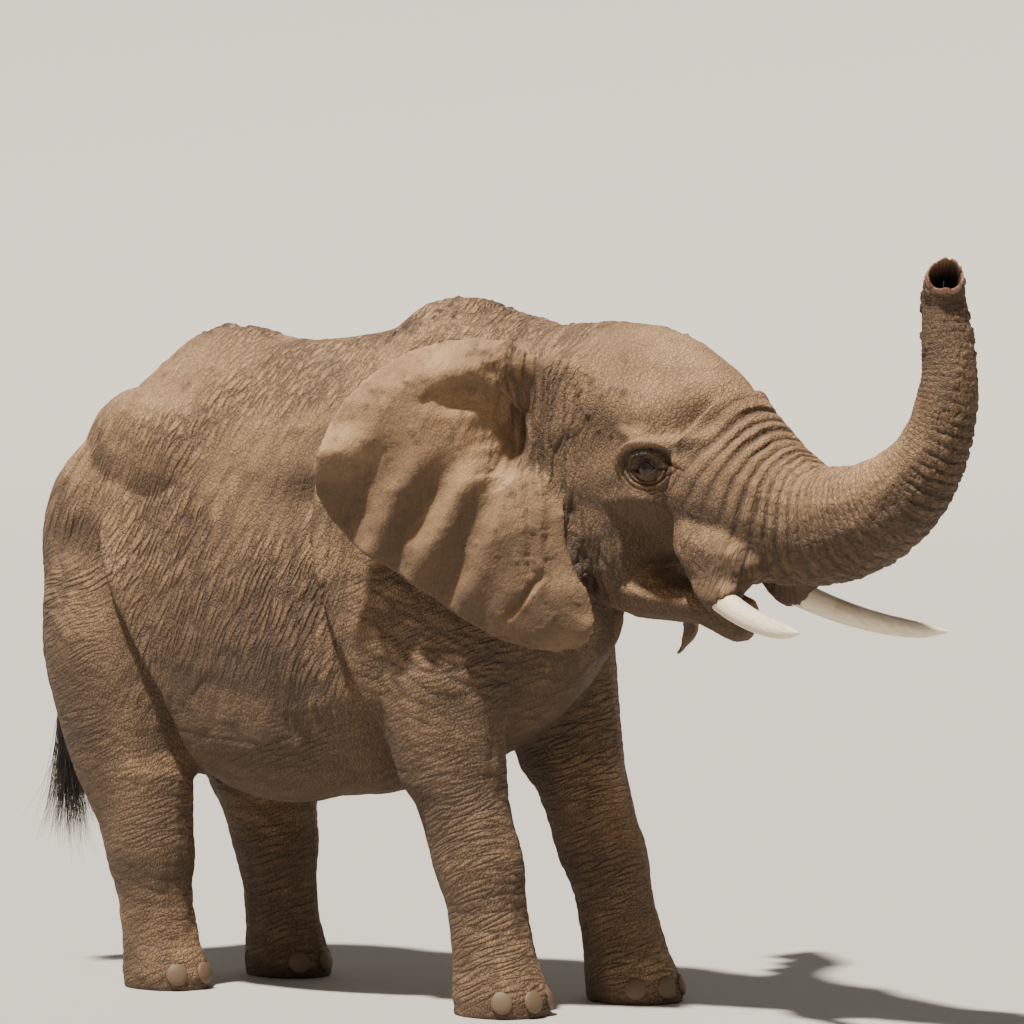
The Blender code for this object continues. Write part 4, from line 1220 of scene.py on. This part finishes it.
def setCamera(toward, right):
    pitch = math.radians(view["pitch"])
    lens = bpy.data.cameras.new("camera")
    lens.sensor_width = 36.0
    lens.lens = view["lens"]
    lens.dof.use_dof = False
    lens.clip_end = 200.0
    camera = bpy.data.objects.new("camera", lens)
    bpy.context.scene.collection.objects.link(camera)
    place = right * view["aside"] + toward * view["distance"] + Vector((0, 0, view["height"]))
    camera.location = place + Vector(pose["stand"])
    camera.rotation_mode = "QUATERNION"
    looking = -toward * math.cos(pitch) - Vector((0, 0, math.sin(pitch)))
    camera.rotation_quaternion = looking.to_track_quat("-Z", "Y")
    bpy.context.scene.camera = camera


def setFloor():
    # a floor that bends up into a round wall far behind the animal
    radius = floorForm["bendRadius"]
    deselectAll()
    bpy.ops.mesh.primitive_grid_add(x_subdivisions=96, y_subdivisions=96, size=floorForm["size"])
    floor = bpy.context.active_object
    spread = pointsOf(floor.data)
    away = np.hypot(spread[:, 0], spread[:, 1])
    course = np.degrees(np.arctan2(spread[:, 1], spread[:, 0]))
    aside = np.abs((course - floorForm["middle"] + 180.0) % 360.0 - 180.0)
    behind = np.maximum(away - floorForm["bendStart"], 0.0) * ramp(aside, *floorForm["halfWidth"])
    bend = radius - np.sqrt(np.maximum(radius**2 - behind**2, 0.0))
    spread[:, 2] = np.where(behind < radius, bend, behind)
    drawnIn = 1.0 - np.maximum(behind - radius, 0.0) / np.maximum(away, 1.0)
    spread[:, :2] *= drawnIn[:, None]
    setPoints(floor.data, spread)
    bpy.ops.object.shade_smooth()
    floor.name = "floor"
    floor.data.materials.append(plainFinish("floorFinish", floorLook["colour"], floorLook["roughness"]))


def setLight(toward, right):
    world = bpy.data.worlds.new("sky")
    world.use_nodes = True
    background = world.node_tree.nodes["Background"]
    background.inputs[0].default_value = sky["colour"]
    background.inputs[1].default_value = sky["strength"]
    bpy.context.scene.world = world
    for name, (near, aside, up), energy, width in suns:
        light = bpy.data.lights.new(name, "SUN")
        light.energy = energy
        light.color = sunColour
        light.angle = math.radians(width)
        lamp = bpy.data.objects.new(name, light)
        bpy.context.scene.collection.objects.link(lamp)
        lamp.rotation_mode = "QUATERNION"
        origin = toward * near + right * aside + Vector((0, 0, up))
        lamp.rotation_quaternion = (-origin).to_track_quat("-Z", "Y")


print("camera, floor and light")
turn = math.radians(view["azimuth"])
toward = Vector((math.sin(turn), -math.cos(turn), 0.0))  # from the animal to the camera
right = Vector((math.cos(turn), math.sin(turn), 0.0))
setCamera(toward, right)
setFloor()
setLight(toward, right)

for node in frame["nodes"].values():
    node.hide_render = True
    node.hide_set(True)
